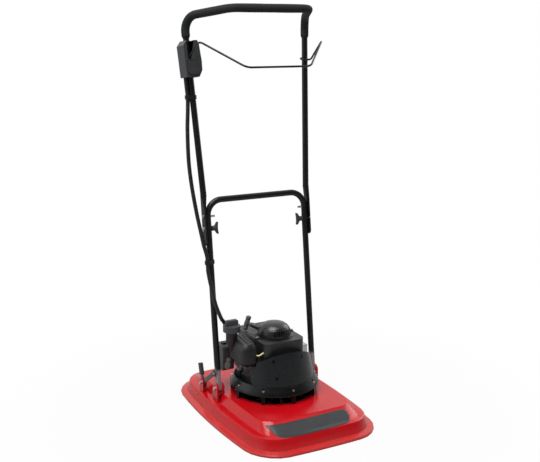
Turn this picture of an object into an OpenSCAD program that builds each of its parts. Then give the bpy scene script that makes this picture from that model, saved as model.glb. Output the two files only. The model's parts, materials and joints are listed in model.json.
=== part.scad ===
// Walk-behind hover mower: moulded deck, engine on a legged air intake, two-part folding handle.
// Millimetres. The origin is at the centre of the deck's rim on the ground, front towards -Y, up +Z.

/* [Deck] */
// Width of the deck across its rim
deck_w = 530; // [500:5:560]
// Length of the deck, front to back
deck_l = 760; // [720:5:800]
// Radius of the deck's corners
deck_corner_r = 108; // [96:2:124]
// How far the sides draw in towards the corners
deck_side_bow = 28; // [16:1:34]
// How far the ends draw in towards the corners
deck_end_bow = 10; // [4:1:16]
// Wall of the moulded shell
deck_wall = 4.5; // [3.5:0.5:5.5]
// Width of the flange round the rim
flange_w = 24; // [20:1:27]
// Height of the ledge that carries the handle brackets
ledge_z = 50; // [46:1:54]
// Height of the raised plateau that carries the engine
plateau_z = 80; // [76:1:86]
// Radius of the air intake in the plateau
intake_r = 138; // [130:1:141]

/* [Engine base] */
// Radius of the engine base over its skirt
base_r = 162; // [158:1:166]
// Height of the air gap under the engine base
leg_h = 30; // [24:1:36]
// Number of legs round the engine base
leg_count = 9; // [7:1:11]
// Width of each leg
leg_w = 13; // [11:1:16]

/* [Engine] */
// Radius of the cowl where it meets the engine base
cowl_r = 144; // [138:1:146]
// Height of the cowl's top edge above the engine base, at the front
cowl_h = 115; // [108:1:122]
// Width of the blower housing
blower_w = 164; // [150:1:172]
// Height of the blower housing
blower_h = 46; // [40:1:54]
// Radius of the recoil starter's dome
dome_r = 62; // [58:1:66]
// Height of the recoil starter's dome
dome_h = 50; // [46:1:58]
// Length of the fuel tank along the machine
tank_l = 124; // [112:1:130]
// Width of the fuel tank
tank_w = 68; // [62:1:70]
// Radius of the fuel filler cap
cap_r = 31; // [27:1:33]

/* [Rotor] */
// Length of the cutting blade
blade_l = 430; // [400:5:440]
// Width of the cutting blade
blade_w = 48; // [40:1:56]
// Thickness of the cutting blade
blade_t = 4; // [3:0.5:5]
// Radius of the fan that lifts the deck
impeller_r = 128; // [118:1:130]
// Number of vanes on the fan
vane_count = 12; // [8:1:16]
// Radius of the crankshaft
shaft_r = 12; // [10:0.5:13]

/* [Handle] */
// Outside diameter of the handle tubes
tube_d = 22; // [20:0.5:24]
// Wall of the handle tubes
tube_wall = 1.5; // [1.2:0.1:2]
// Distance from the rim's side to the axis of a lower handle tube
handle_inset = 68; // [67:0.5:69]
// Height of the handle's pivot bolts above the ground
pivot_z = 97; // [96:0.5:99]
// Lean of the upright handle to the rear, in degrees
handle_lean = 6.7; // [4:0.1:9]
// Distance from the pivot to the crossbar of the lower handle
crossbar_s = 682; // [660:1:720]
// Distance from the pivot to the wing knobs
knob_s = 582; // [570:1:592]
// Distance from the pivot to the pins that the upper handle folds about
fold_s = 626; // [620:1:632]
// Distance from the pivot to the top of the upper uprights
upright_s = 1319; // [1300:1:1335]
// Half the distance between the uprights at the top
upright_x = 239.5; // [232:0.5:244]
// Reach of the grip bar in front of the uprights
grip_reach = 189; // [170:1:200]
// Rise of the grip bar above the uprights
grip_rise = 5; // [2:1:20]
// Half the length of the straight grip bar
grip_half = 149; // [130:1:160]
// Outside diameter of the foam grip
foam_d = 30; // [28:0.5:32]

/* [Controls] */
// Distance from the handle's pivot bolts to the bail's axis
bail_s = 1172; // [1160:1:1182]
// Diameter of the bail wire
bail_d = 7; // [6:0.5:7.5]
// Half the length of the straight part of the bail
bail_half = 122; // [110:1:130]
// Width of the control box
box_w = 65; // [60:1:65]
// Height of the control box
box_h = 124; // [118:1:130]
// Outside diameter of the control cable's sleeve
cable_d = 14; // [12:0.5:14]

/* [Hidden] */

// Facets of round shapes
$fn = 64;
// Facets of the round ends inside a hull
hull_fn = 32;
// Straight steps in a rounded corner of an outline
corner_steps = 6;
// Overrun of a cut past the face that it opens
cut = 1;
// Clearance of a part that turns on a pin or in a bore
run_clear = 0.08;
// Clearance of a part that is bolted or clamped on
seat_clear = 0.15;
// Clearance between moving neighbours
side_clear = 0.5;

red = "#c4202a";
black = "#26272a";
charcoal = "#3a3b3e";
steel = "#b9bcc0";
dark_steel = "#55575b";
tube_black = "#202124";
hose_yellow = "#d9cf8a";

// Vector tools
x_axis = [1, 0, 0];
z_axis = [0, 0, 1];
steep_share = 0.9;
function unit(v) = v / norm(v);
function side_of(v) = unit(cross(abs(v.z) > steep_share * norm(v) ? x_axis : z_axis, v));
function turn_at(p, i) = acos(unit(p[i] - p[i - 1]) * unit(p[i + 1] - p[i]));
function flip_x(points) = [for (p = points) [-p.x, p.y, p.z]];
function reversed(list) = [for (i = [len(list) - 1:-1:0]) list[i]];

// Moves its children to a point, with their x and z axes along the given directions
module place(at, x, z) {
    y = cross(z, x);
    translate(at) multmatrix([[x.x, y.x, z.x, 0], [x.y, y.y, z.y, 0], [x.z, y.z, z.z, 0], [0, 0, 0, 1]])
        children();
}

// Turns an outline drawn in Y and Z to its place and gives it a thickness along +X
module plate_x(x, thickness) {
    translate([x, 0, 0]) rotate([90, 0, 90]) linear_extrude(thickness) children();
}

// Cylinder along +X from a point
module rod_x(at, length, r) {
    translate(at) rotate([0, 90, 0]) cylinder(h = length, r = r);
}

// Hexagon head or nut along +X from a point
module hex_x(at, length, r) {
    translate(at) rotate([0, 90, 0]) cylinder(h = length, r = r, $fn = 6);
}

module ring(r_out, r_in) {
    difference() {
        circle(r_out);
        circle(r_in);
    }
}

// Round rod through the given corner points with a true bend at each corner, and the same as a tube
module rod_run(points, bends, r) {
    last = len(points) - 1;
    turns = [for (i = [0:last]) i == 0 || i == last ? 0 : turn_at(points, i)];
    trims = [for (i = [0:last]) i == 0 || i == last ? 0 : bends[i - 1] * tan(turns[i] / 2)];
    for (i = [0:last - 1]) {
        run = unit(points[i + 1] - points[i]);
        length = norm(points[i + 1] - points[i]) - trims[i] - trims[i + 1];
        place(points[i], side_of(run), run) translate([0, 0, trims[i]]) cylinder(h = length, r = r);
    }
    for (i = [1:last - 1]) {
        run = unit(points[i] - points[i - 1]);
        on = unit(points[i + 1] - points[i]);
        out = unit(run * (on * run) - on);
        place(points[i], out, cross(out, run)) translate([-bends[i - 1], -trims[i], 0])
            rotate_extrude(angle = turns[i]) translate([bends[i - 1], 0]) circle(r);
    }
}
module tube_run(points, bends, r_out, r_in) {
    difference() {
        rod_run(points, bends, r_out);
        rod_run(points, bends, r_in);
    }
}

// Points of a rectangle with round corners, centred on the origin
function rounded(w, l, r) = [
    for (c = [[1, 1, 0], [-1, 1, 90], [-1, -1, 180], [1, -1, 270]], i = [0:corner_steps])
        [c.x * (w / 2 - r), c.y * (l / 2 - r)] + r * [
            cos(c.z + 90 * i / corner_steps), sin(c.z + 90 * i / corner_steps)
        ]
];

// Outline of an upright strip with a round top centred at height h
function arch(w, h) = concat(
    [[-w / 2, 0], [w / 2, 0]],
    [for (i = [0:2 * corner_steps]) [0, h] + w / 2 * [
        cos(90 * i / corner_steps), sin(90 * i / corner_steps)
    ]]
);

// Faces between rings of n points each: closed round a loop, or capped at both ends
function band_faces(k, next, n) = [
    for (i = [0:n - 1], t = [0, 1]) t == 0
        ? [k * n + i, next * n + (i + 1) % n, k * n + (i + 1) % n]
        : [k * n + i, next * n + i, next * n + (i + 1) % n]
];
module ring_loop(rings) {
    m = len(rings);
    n = len(rings[0]);
    polyhedron(
        points = [for (one = rings) each one],
        faces = [for (k = [0:m - 1]) each band_faces(k, (k + 1) % m, n)]
    );
}
module ring_loft(rings) {
    m = len(rings);
    n = len(rings[0]);
    polyhedron(
        points = [for (one = rings) each one],
        faces = concat(
            [[for (i = [0:n - 1]) i]],
            [for (k = [0:m - 2]) each band_faces(k, k + 1, n)],
            [[for (i = [n - 1:-1:0]) (m - 1) * n + i]]
        )
    );
}

// Smooth points along a cord's route, and the closed tube swept along them
cord_steps = 3;
cord_sides = 10;
function smooth(p, i, t) = let (
    a = p[max(i - 1, 0)],
    b = p[i],
    c = p[i + 1],
    d = p[min(i + 2, len(p) - 1)]
) (2 * b + (c - a) * t + (2 * a - 5 * b + 4 * c - d) * t * t + (3 * b - a - 3 * c + d) * t * t * t) / 2;
function route_points(p, steps) = concat(
    [for (i = [0:len(p) - 2], k = [0:steps - 1]) smooth(p, i, k / steps)],
    [p[len(p) - 1]]
);
module cord(route, d) {
    p = route_points(route, cord_steps);
    last = len(p) - 1;
    ring_loft([
        for (i = [0:last]) let (
            along = unit(p[min(i + 1, last)] - p[max(i - 1, 0)]),
            u = unit(cross(along, x_axis)),
            v = cross(along, u)
        ) [
            for (k = [0:cord_sides - 1])
                p[i] + d / 2 * (cos(360 * k / cord_sides) * u + sin(360 * k / cord_sides) * v)
        ]
    ]);
}

// Tube swept through corner points that don't lie in one plane, as rings along its straights and bends
sweep_steps = 8;
sweep_side = unit([0, 1, 1]);
function bend_rings(points, bends, i) = let (
    run = unit(points[i] - points[i - 1]),
    on = unit(points[i + 1] - points[i]),
    out = unit(run * (on * run) - on),
    turn = turn_at(points, i),
    r = bends[i - 1],
    centre = points[i] - run * r * tan(turn / 2) - out * r
) [
    for (k = [0:sweep_steps]) let (a = turn * k / sweep_steps)
        [centre + r * (out * cos(a) + run * sin(a)), run * cos(a) - out * sin(a)]
];
function sweep_stations(points, bends) = let (last = len(points) - 1) concat(
    [[points[0], unit(points[1] - points[0])]],
    [for (i = [1:last - 1]) each bend_rings(points, bends, i)],
    [[points[last], unit(points[last] - points[last - 1])]]
);
function sweep_rings(stations, r, sides) = [
    for (one = stations) let (u = unit(cross(one[1], sweep_side)), v = cross(one[1], u)) [
        for (k = [0:sides - 1]) one[0] + r * (cos(360 * k / sides) * u + sin(360 * k / sides) * v)
    ]
];
module swept_tube(points, bends, r_out, r_in, sides) {
    stations = sweep_stations(points, bends);
    ring_loop(concat(sweep_rings(stations, r_out, sides), reversed(sweep_rings(stations, r_in, sides))));
}

// Deck: a shell lofted through rings that run from the rim over the plateau into the intake
rim_h = 6;
rim_lip = 3;
flange_rise = 3;
wall_draft = 8;
end_draft = 12;
shoulder_r = 8;
shoulder_in_share = 0.3;
shoulder_up_share = 0.75;
plateau_in = 78;
plateau_end_in = 116;
ramp_w = 16;
ramp_end_w = 58;
plateau_edge = 3;
corner_in_share = 0.77;
intake_round = 6;
intake_lip = 16;
side_points = 4;
arc_points = 5;
end_points = 3;
engine_y = -10;
wall_in = flange_w + wall_draft;
wall_end_in = flange_w + end_draft;
flange_z = rim_h + rim_lip + flange_rise;

// Side inset, end inset and height of each ring
deck_section = [
    [0, 0, 0],
    [0, 0, rim_h],
    [rim_lip, rim_lip, rim_h + rim_lip],
    [flange_w, flange_w, flange_z],
    [wall_in, wall_end_in, ledge_z - shoulder_r],
    [
        wall_in + shoulder_r * shoulder_in_share,
        wall_end_in + shoulder_r * shoulder_in_share,
        ledge_z - shoulder_r * (1 - shoulder_up_share)
    ],
    [wall_in + shoulder_r, wall_end_in + shoulder_r, ledge_z],
    [plateau_in - ramp_w, plateau_end_in - ramp_end_w, ledge_z],
    [plateau_in - plateau_edge, plateau_end_in - plateau_edge, plateau_z - plateau_edge],
    [plateau_in, plateau_end_in, plateau_z]
];
section_last = len(deck_section) - 1;
// Inward normal of the section between ring i and the next
function band_normal(i) = let (step = deck_section[i + 1] - deck_section[i]) unit([step.z, -step.x]);
function shell_step(i) = i == 0
    ? [deck_wall, 0]
    : i == section_last
        ? [0, -deck_wall]
        : let (a = band_normal(i - 1), b = band_normal(i)) deck_wall * (a + b) / (1 + a * b);
inner_section = [
    for (i = [0:section_last]) let (move = shell_step(i)) deck_section[i] + [move.x, move.x, move.y]
];

function quarter(hw, hl, r) = concat(
    [for (i = [0:side_points - 1]) [hw, (hl - r) * i / side_points]],
    [for (i = [0:arc_points - 1])
        [hw - r, hl - r] + r * [cos(90 * i / arc_points), sin(90 * i / arc_points)]],
    [for (i = [0:end_points]) [(hw - r) * (1 - i / end_points), hl]]
);
function outline(hw, hl, r) = let (q = quarter(hw, hl, r), n = len(q) - 1) concat(
    [for (i = [0:n - 1]) q[i]],
    [for (i = [n:-1:1]) [-q[i].x, q[i].y]],
    [for (i = [0:n - 1]) -q[i]],
    [for (i = [n:-1:1]) [q[i].x, -q[i].y]]
);
// Draws the sides and ends in towards the corners
function bowed(p) = [
    p.x * (1 - deck_side_bow / (deck_w / 2) * pow(p.y / (deck_l / 2), 2)),
    p.y * (1 - deck_end_bow / (deck_l / 2) * pow(p.x / (deck_w / 2), 2))
];
function deck_ring(s) = [
    for (p = outline(deck_w / 2 - s.x, deck_l / 2 - s.y, deck_corner_r - corner_in_share * s.x))
        concat(bowed(p), [s.z])
];
plateau_ring = deck_ring(deck_section[section_last]);
function intake_ring(r, z) = [
    for (p = plateau_ring) let (a = atan2(p.y - engine_y, p.x)) [r * cos(a), engine_y + r * sin(a), z]
];
deck_rings = concat(
    [for (s = deck_section) deck_ring(s)],
    [
        intake_ring(intake_r + intake_round, plateau_z),
        intake_ring(intake_r, plateau_z - intake_round),
        intake_ring(intake_r, plateau_z - intake_lip),
        intake_ring(intake_r + deck_wall, plateau_z - intake_lip),
        intake_ring(intake_r + deck_wall, plateau_z - intake_round),
        intake_ring(intake_r + intake_round + deck_wall, plateau_z - deck_wall)
    ],
    reversed([for (s = inner_section) deck_ring(s)])
);
module deck() {
    color(red) ring_loop(deck_rings);
}

// Handle pivot brackets: a clevis with its outer ear on the ledge and its inner ear on the plateau
pivot_y = 48;
tang_t = 11;
tang_w = 26;
tang_l = 60;
ear_t = 9;
ear_w = 38;
bracket_floor_t = 3.5;
pivot_bolt_r = 4;
bolt_head_h = 5.5;
bolt_head_r = 7;
handle_x = deck_w / 2 - handle_inset;
slot_half = tang_t / 2 + side_clear;
pivot = [0, pivot_y, pivot_z];

module pivot_bracket(side) {
    mirror([side > 0 ? 1 : 0, 0, 0]) color(red) difference() {
        union() {
            translate([0, pivot_y, ledge_z])
                plate_x(-handle_x - slot_half - ear_t, ear_t) polygon(arch(ear_w, pivot_z - ledge_z));
            translate([0, pivot_y, plateau_z])
                plate_x(-handle_x + slot_half, ear_t) polygon(arch(ear_w, pivot_z - plateau_z));
            translate([-handle_x - slot_half, pivot_y - ear_w / 2, plateau_z])
                cube([2 * slot_half, ear_w, bracket_floor_t]);
        }
        rod_x(
            [-handle_x - slot_half - ear_t - cut, pivot_y, pivot_z],
            2 * (slot_half + ear_t + cut), pivot_bolt_r + run_clear
        );
    }
}
module pivot_bracket_left() {
    pivot_bracket(-1);
}
module pivot_bracket_right() {
    pivot_bracket(1);
}
module pivot_bolts() {
    reach = slot_half + ear_t;
    color(steel) for (side = [-1, 1]) mirror([side > 0 ? 1 : 0, 0, 0]) {
        rod_x([-handle_x - reach - bolt_head_h, pivot_y, pivot_z], 2 * reach + bolt_head_h, pivot_bolt_r);
        hex_x([-handle_x - reach - bolt_head_h, pivot_y, pivot_z], bolt_head_h, bolt_head_r);
        hex_x([-handle_x + reach, pivot_y, pivot_z], bolt_head_h, bolt_head_r);
    }
}

// Handle latch: a plate beside the left tube whose hook drops over a pin on the tube
latch_y = 154;
latch_z = 84;
latch_t = 4.5;
latch_gap = 1.5;
latch_hub_r = 12;
latch_ear_t = 5.5;
latch_ear_w = 30;
latch_bolt_r = 4;
latch_pin_r = 4;
latch_pin_s = 57;
hook_r = 13;
hook_slot = 10;
lever_tip = [172, 142];
lever_w = 15;
arm_w = 15;
grip_l = 44;
grip_w = 21;
grip_t = 14;
latch_x = -handle_x - tube_d / 2 - latch_gap - latch_t;
latch_at = [latch_y, latch_z];
pin_at = [pivot_y, pivot_z] + latch_pin_s * [sin(handle_lean), cos(handle_lean)];

// Straight strip of width w from a to b, with round ends
module strip(a, b, w) {
    lean = atan2((b - a).y, (b - a).x) - 90;
    step = 90 / corner_steps;
    polygon(concat(
        [for (i = [0:2 * corner_steps]) b + w / 2 * [cos(lean + step * i), sin(lean + step * i)]],
        [for (i = [0:2 * corner_steps]) a - w / 2 * [cos(lean + step * i), sin(lean + step * i)]]
    ));
}
module latch_bracket() {
    color(red) difference() {
        union() {
            translate([0, latch_y, ledge_z])
                plate_x(latch_x - side_clear - latch_ear_t, latch_ear_t)
                polygon(arch(latch_ear_w, latch_z - ledge_z));
            translate([0, latch_y, ledge_z])
                plate_x(latch_x + latch_t + side_clear, latch_ear_t)
                polygon(arch(latch_ear_w, latch_z - ledge_z));
            translate([latch_x - side_clear, latch_y - latch_ear_w / 2, ledge_z])
                cube([latch_t + 2 * side_clear, latch_ear_w, latch_z - ledge_z - latch_hub_r - side_clear]);
        }
        rod_x(
            [latch_x - side_clear - latch_ear_t - cut, latch_y, latch_z],
            latch_t + 2 * (side_clear + latch_ear_t + cut), latch_bolt_r + run_clear
        );
    }
}
module latch_bolt() {
    reach = latch_t + 2 * (side_clear + latch_ear_t);
    from = [latch_x - side_clear - latch_ear_t, latch_y, latch_z];
    color(steel) {
        rod_x(from - [bolt_head_h, 0, 0], reach + bolt_head_h, latch_bolt_r);
        hex_x(from - [bolt_head_h, 0, 0], bolt_head_h, bolt_head_r);
    }
}
module latch_lever() {
    color(dark_steel) plate_x(latch_x, latch_t) difference() {
        union() {
            translate(latch_at) circle(latch_hub_r);
            strip(latch_at, pin_at, arm_w);
            translate(pin_at) circle(hook_r);
            strip(latch_at, lever_tip, lever_w);
        }
        translate(latch_at) circle(latch_bolt_r + run_clear);
        strip(pin_at, pin_at - [0, 2 * hook_r], hook_slot);
    }
}
module latch_grip() {
    reach = lever_tip - latch_at;
    color(black) translate([latch_x + latch_t / 2, latch_y, latch_z])
        rotate([atan2(reach.y, reach.x) - 90, 0, 0])
        translate([0, 0, norm(reach) + lever_w / 2 - grip_l + latch_t]) difference() {
            linear_extrude(grip_l) polygon(rounded(grip_t, grip_w, grip_t / 3));
            translate([-latch_t / 2 - seat_clear, -lever_w / 2 - seat_clear, -cut])
                cube([latch_t + 2 * seat_clear, lever_w + 2 * seat_clear, grip_l - latch_t + cut]);
        }
}

// Engine base: a dished ring on legs over the intake
skirt_h = 6;
base_slope_h = 26;
base_ramp_w = 15;
base_plate = 4;
base_bore_r = 40;
leg_depth = 14;
leg_set = 1.5;
leg_first = -2.5;
base_bolt_r = 3;
base_bolt_in = 8.5;
base_head_r = 5;
base_head_h = 4;
base_spot_r = 6;
base_top_r = base_r - base_ramp_w;
base_z = plateau_z + leg_h;
base_top = base_z + skirt_h + base_slope_h;
base_bolt_at = base_r - base_bolt_in;
base_spot_z = base_z + skirt_h + base_slope_h * base_bolt_in / (base_r - base_top_r) - base_head_h;
engine_at = [0, engine_y, 0];

module round_legs() {
    for (i = [0:leg_count - 1]) translate(engine_at) rotate(leg_first + 360 * i / leg_count) children();
}
module engine_base() {
    color(black) difference() {
        union() {
            translate(engine_at) rotate_extrude() polygon([
                [base_r, base_z],
                [base_r, base_z + skirt_h],
                [base_top_r, base_top],
                [base_bore_r, base_top],
                [base_bore_r, base_top - base_plate],
                [base_top_r - base_plate, base_top - base_plate],
                [base_r - base_plate, base_z + skirt_h - base_plate / 2],
                [base_r - base_plate, base_z]
            ]);
            round_legs() translate([-leg_w / 2, leg_set - base_r, plateau_z])
                cube([leg_w, leg_depth, leg_h + skirt_h]);
        }
        round_legs() translate([0, -base_bolt_at, base_spot_z]) cylinder(h = base_slope_h, r = base_spot_r);
        round_legs() translate([0, -base_bolt_at, plateau_z + base_plate])
            cylinder(h = base_spot_z - plateau_z, r = base_bolt_r + seat_clear);
    }
}
module base_bolts() {
    color(steel) round_legs() {
        translate([0, -base_bolt_at, plateau_z + base_plate])
            cylinder(h = base_spot_z - plateau_z - base_plate, r = base_bolt_r);
        translate([0, -base_bolt_at, base_spot_z]) cylinder(h = base_head_h, r = base_head_r);
    }
}

// Cowl: a conical shell round the front of the engine, cut off along a slanting plane
cowl_t = 3;
cowl_taper_share = 0.19;
cowl_cut_slope = 0.733;
// Distance from the engine's axis to the flat on the cowl's left
cowl_flat = 126;
cowl_hole_r = 6;
// Turn from the front in degrees, and share of the cowl's height, of each screw
cowl_hole_shares = [[-29.5, 0.755], [-24.5, 0.238], [22, 0.787]];
cowl_screw_set = 1.2;
// Gap between the cowl and the tank
tank_gap = 2;
function cowl_r_at(h) = cowl_r - cowl_taper_share * h;
module cowl_body(inset, over) {
    intersection() {
        translate([0, 0, base_top - over]) cylinder(
            h = cowl_h + 2 * over, r1 = cowl_r_at(-over) - inset, r2 = cowl_r_at(cowl_h + over) - inset
        );
        translate([inset - cowl_flat, -2 * cowl_r, base_top - over - cut])
            cube([4 * cowl_r, 4 * cowl_r, cowl_h + 2 * (over + cut)]);
    }
}
module cowl() {
    front = engine_y - cowl_r_at(cowl_h);
    cut_low = base_top + cowl_h - 2 * cowl_r * cowl_cut_slope;
    color(black) difference() {
        translate(engine_at) cowl_body(0, 0);
        translate(engine_at) cowl_body(cowl_t, cut);
        translate([tank_x, tank_y, base_top + tank_z - tank_gap]) linear_extrude(cowl_h)
            polygon(rounded(tank_w + 2 * tank_gap, tank_l + 2 * tank_gap, tank_corner + tank_gap));
        plate_x(-2 * cowl_r, 4 * cowl_r) polygon([
            [front, base_top + cowl_h],
            [front + 2 * cowl_r, cut_low],
            [front + 3 * cowl_r, cut_low],
            [front + 3 * cowl_r, base_top + 2 * cowl_h],
            [front, base_top + 2 * cowl_h]
        ]);
        at_cowl_holes() rotate([90, 0, 0]) cylinder(h = 4 * cowl_t, r = cowl_hole_r);
    }
}
module at_cowl_holes() {
    for (hole = cowl_hole_shares) translate(engine_at) rotate(hole.x)
        translate([0, -cowl_r_at(hole.y * cowl_h) + 2 * cowl_t, base_top + hole.y * cowl_h])
        rotate([-atan(cowl_taper_share), 0, 0]) children();
}
module cowl_screws() {
    color(dark_steel) at_cowl_holes() rotate([90, 0, 0]) translate([0, 0, cowl_t - cowl_screw_set])
        cylinder(h = cowl_t, r = cowl_hole_r - seat_clear);
}

// Crankcase: flanged drum with the cylinder's seat at the rear and the blower's floor on top
crank_flange_r = 88;
crank_flange_h = 8;
crank_body_r = 61;
crank_seat_y = 62;
crank_seat_w = 84;
crank_spigot = 20;
bore_z = 48;
blower_z = 98;
floor_t = 4;
blower_front = 85;
blower_rear = 150;
blower_corner = 26;
blower_t = 2.5;
floor_rear = 78;
tank_tab_l = 44;
oil_neck = [-118, 44];
oil_neck_r = 9;
oil_neck_h = 18;
oil_rib_w = 12;
blower_low = base_top + blower_z;
blower_top = blower_low + blower_h;
blower_l = blower_front + blower_rear;
cylinder_z = base_top + bore_z;

module blower_outline(inset) {
    translate([0, (blower_rear - blower_front) / 2])
        polygon(rounded(blower_w - 2 * inset, blower_l - 2 * inset, blower_corner - inset));
}
module crankcase() {
    color(charcoal) translate(engine_at) difference() {
        union() {
            translate([0, 0, base_top]) cylinder(h = crank_flange_h, r = crank_flange_r);
            translate([0, 0, base_top - crank_spigot])
                cylinder(h = crank_spigot + blower_z - floor_t, r = base_bore_r - seat_clear);
            translate([0, 0, base_top]) cylinder(h = blower_z - floor_t / 2, r = crank_body_r);
            translate([-crank_seat_w / 2, 0, cylinder_z - crank_seat_w / 2])
                cube([crank_seat_w, crank_seat_y, crank_seat_w]);
            translate([0, 0, blower_low - floor_t]) linear_extrude(floor_t) intersection() {
                blower_outline(0);
                translate([-blower_w, -blower_l]) square([2 * blower_w, blower_l + floor_rear]);
            }
            translate([tank_x + tank_w / 2, tank_y - engine_y - tank_tab_l / 2, blower_low - floor_t])
                cube([-blower_w / 2 - tank_x - tank_w / 2 + floor_t, tank_tab_l, floor_t]);
            translate([oil_neck.x, oil_neck.y, base_top]) cylinder(h = oil_neck_h, r = oil_neck_r);
            translate([oil_neck.x, oil_neck.y - oil_rib_w / 2, base_top])
                cube([-oil_neck.x - crank_flange_r / 2, oil_rib_w, crank_flange_h]);
        }
        translate([0, 0, base_top - crank_spigot - cut])
            cylinder(h = crank_spigot + blower_z + 2 * cut, r = shaft_r + run_clear);
        translate([oil_neck.x, oil_neck.y, base_top + crank_flange_h])
            cylinder(h = oil_neck_h, r = oil_plug_r + run_clear);
    }
}

// Oil filler cap, screwed into its neck
oil_cap_r = 13;
oil_cap_h = 11;
oil_plug_r = 6;
oil_lobes = 8;
oil_lobe_r = 2.5;
module oil_cap() {
    color(charcoal) translate(engine_at + [oil_neck.x, oil_neck.y, base_top + oil_neck_h]) {
        difference() {
            cylinder(h = oil_cap_h, r = oil_cap_r);
            for (i = [0:oil_lobes - 1]) rotate(360 * i / oil_lobes)
                translate([oil_cap_r + oil_lobe_r / 2, 0, -cut])
                cylinder(h = oil_cap_h + 2 * cut, r = oil_lobe_r);
        }
        translate([0, 0, -oil_neck_h / 2]) cylinder(h = oil_neck_h / 2 + cut, r = oil_plug_r);
    }
}

// Finned cylinder and head, lying to the rear
barrel_r = 32;
barrel_l = 78;
fin_w = 88;
fin_h = 78;
fin_t = 2.5;
fin_count = 9;
fin_first = 6;
fin_corner = 8;
head_l = 20;
head_w = 80;
head_h = 74;
head_corner = 10;
plug_thread_r = 5;
plug_thread_l = 8;
plug_hex_r = 9;
plug_hex_h = 9;
plug_tip_r = 4.5;
plug_tip_l = 18;
boot_r = 9.5;
boot_l = 26;
head_y = crank_seat_y + barrel_l;
module from_bore(along) {
    translate(engine_at + [0, along, cylinder_z]) rotate([-90, 0, 0]) children();
}
module cylinder_fins() {
    pitch = (barrel_l - 2 * fin_first) / (fin_count - 1);
    from_bore(crank_seat_y) {
        cylinder(h = barrel_l, r = barrel_r);
        for (i = [0:fin_count - 1]) translate([0, 0, fin_first + pitch * i - fin_t / 2])
            linear_extrude(fin_t) polygon(rounded(fin_w, fin_h, fin_corner));
    }
}
module cylinder_block() {
    color(steel) cylinder_fins();
}
module cylinder_head() {
    color(steel) from_bore(head_y) difference() {
        linear_extrude(head_l) polygon(rounded(head_w, head_h, head_corner));
        translate([0, 0, head_l - plug_thread_l]) cylinder(h = head_l, r = plug_thread_r + seat_clear);
        for (side = [-1, 1], i = [1:2]) translate([
            side * (head_w / 2 - i * head_corner) - fin_t / 2, -head_h / 2 - cut, head_l / 2
        ]) cube([fin_t, head_h + 2 * cut, head_l]);
    }
}
module spark_plug() {
    color(steel) from_bore(head_y + head_l) {
        translate([0, 0, -plug_thread_l]) cylinder(h = plug_thread_l, r = plug_thread_r);
        cylinder(h = plug_hex_h, r = plug_hex_r, $fn = 6);
        translate([0, 0, plug_hex_h]) cylinder(h = plug_tip_l, r = plug_tip_r);
    }
}
module plug_boot() {
    color(black) from_bore(head_y + head_l + plug_hex_h) difference() {
        translate([0, 0, plug_tip_l / 3]) cylinder(h = boot_l, r = boot_r);
        cylinder(h = plug_tip_l + seat_clear, r = plug_tip_r + seat_clear);
    }
}
lead_d = 7;
lead_gap = 0.8;
lead_route = [[0, 181, 208], [4, 184, 224], [12, 178, 244], [20, 160, 258]];
lead_end = [24, 141, 262];
boot_end = engine_y + head_y + head_l + plug_hex_h + plug_tip_l / 3 + boot_l;
lead_start = [0, boot_end - boot_r, cylinder_z + boot_r + lead_gap];
module ignition_lead() {
    color(black) cord(concat([lead_start], lead_route, [lead_end]), lead_d);
}

// Blower housing over the flywheel, open underneath, with the starter's opening on top
blower_hole_in = 6;
module blower_housing() {
    color(charcoal) translate(engine_at) difference() {
        translate([0, 0, blower_low]) linear_extrude(blower_h) blower_outline(0);
        translate([0, 0, blower_low - cut])
            linear_extrude(blower_h - blower_t + cut) blower_outline(blower_t);
        translate([0, 0, blower_low]) cylinder(h = blower_h + cut, r = dome_r - blower_hole_in);
    }
}

// Recoil starter: louvred dome with bolt ears, rope guide, pulley and grip
dome_r_shares = [1, 0.975, 0.9, 0.79, 0.62, 0.38, 0.15, 0];
dome_h_shares = [0, 0.32, 0.55, 0.73, 0.88, 0.97, 1, 1];
dome_t = 2.5;
dome_flange_r = 68;
dome_flange_h = 3;
ear_angles = [8, 98, 188];
dome_ear_r = 9;
dome_ear_reach = 76;
dome_screw_r = 2.5;
dome_screw_head_r = 5;
dome_screw_head_h = 3.5;
louvre_first = -116;
louvre_pitch = 8;
louvre_count = 13;
louvre_w = 4;
louvre_low = 10;
louvre_h = 19;
pulley_pin_r = 6;
pulley_gap = 1;
pulley_r = 40;
pulley_neck_r = 35;
pulley_rim = 3;
pulley_h = 15;
pulley_z = 4;
rope_turn = 128;
rope_rise = 14;
rope_z = 3;
rope_r = 2;
guide_root = 46;
guide_end = 95;
guide_root_r = 12;
guide_end_r = 8;
guide_bore = 3;
handle_stem_r = 7;
handle_bar_r = 8.5;
handle_bar_l = 56;
handle_stem_l = 9;
handle_tilt = 12;
dome_at = engine_at + [0, 0, blower_top];

function dome_points(r, h) = [
    for (i = [0:len(dome_r_shares) - 1]) [r * dome_r_shares[i], h * dome_h_shares[i]]
];
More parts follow.
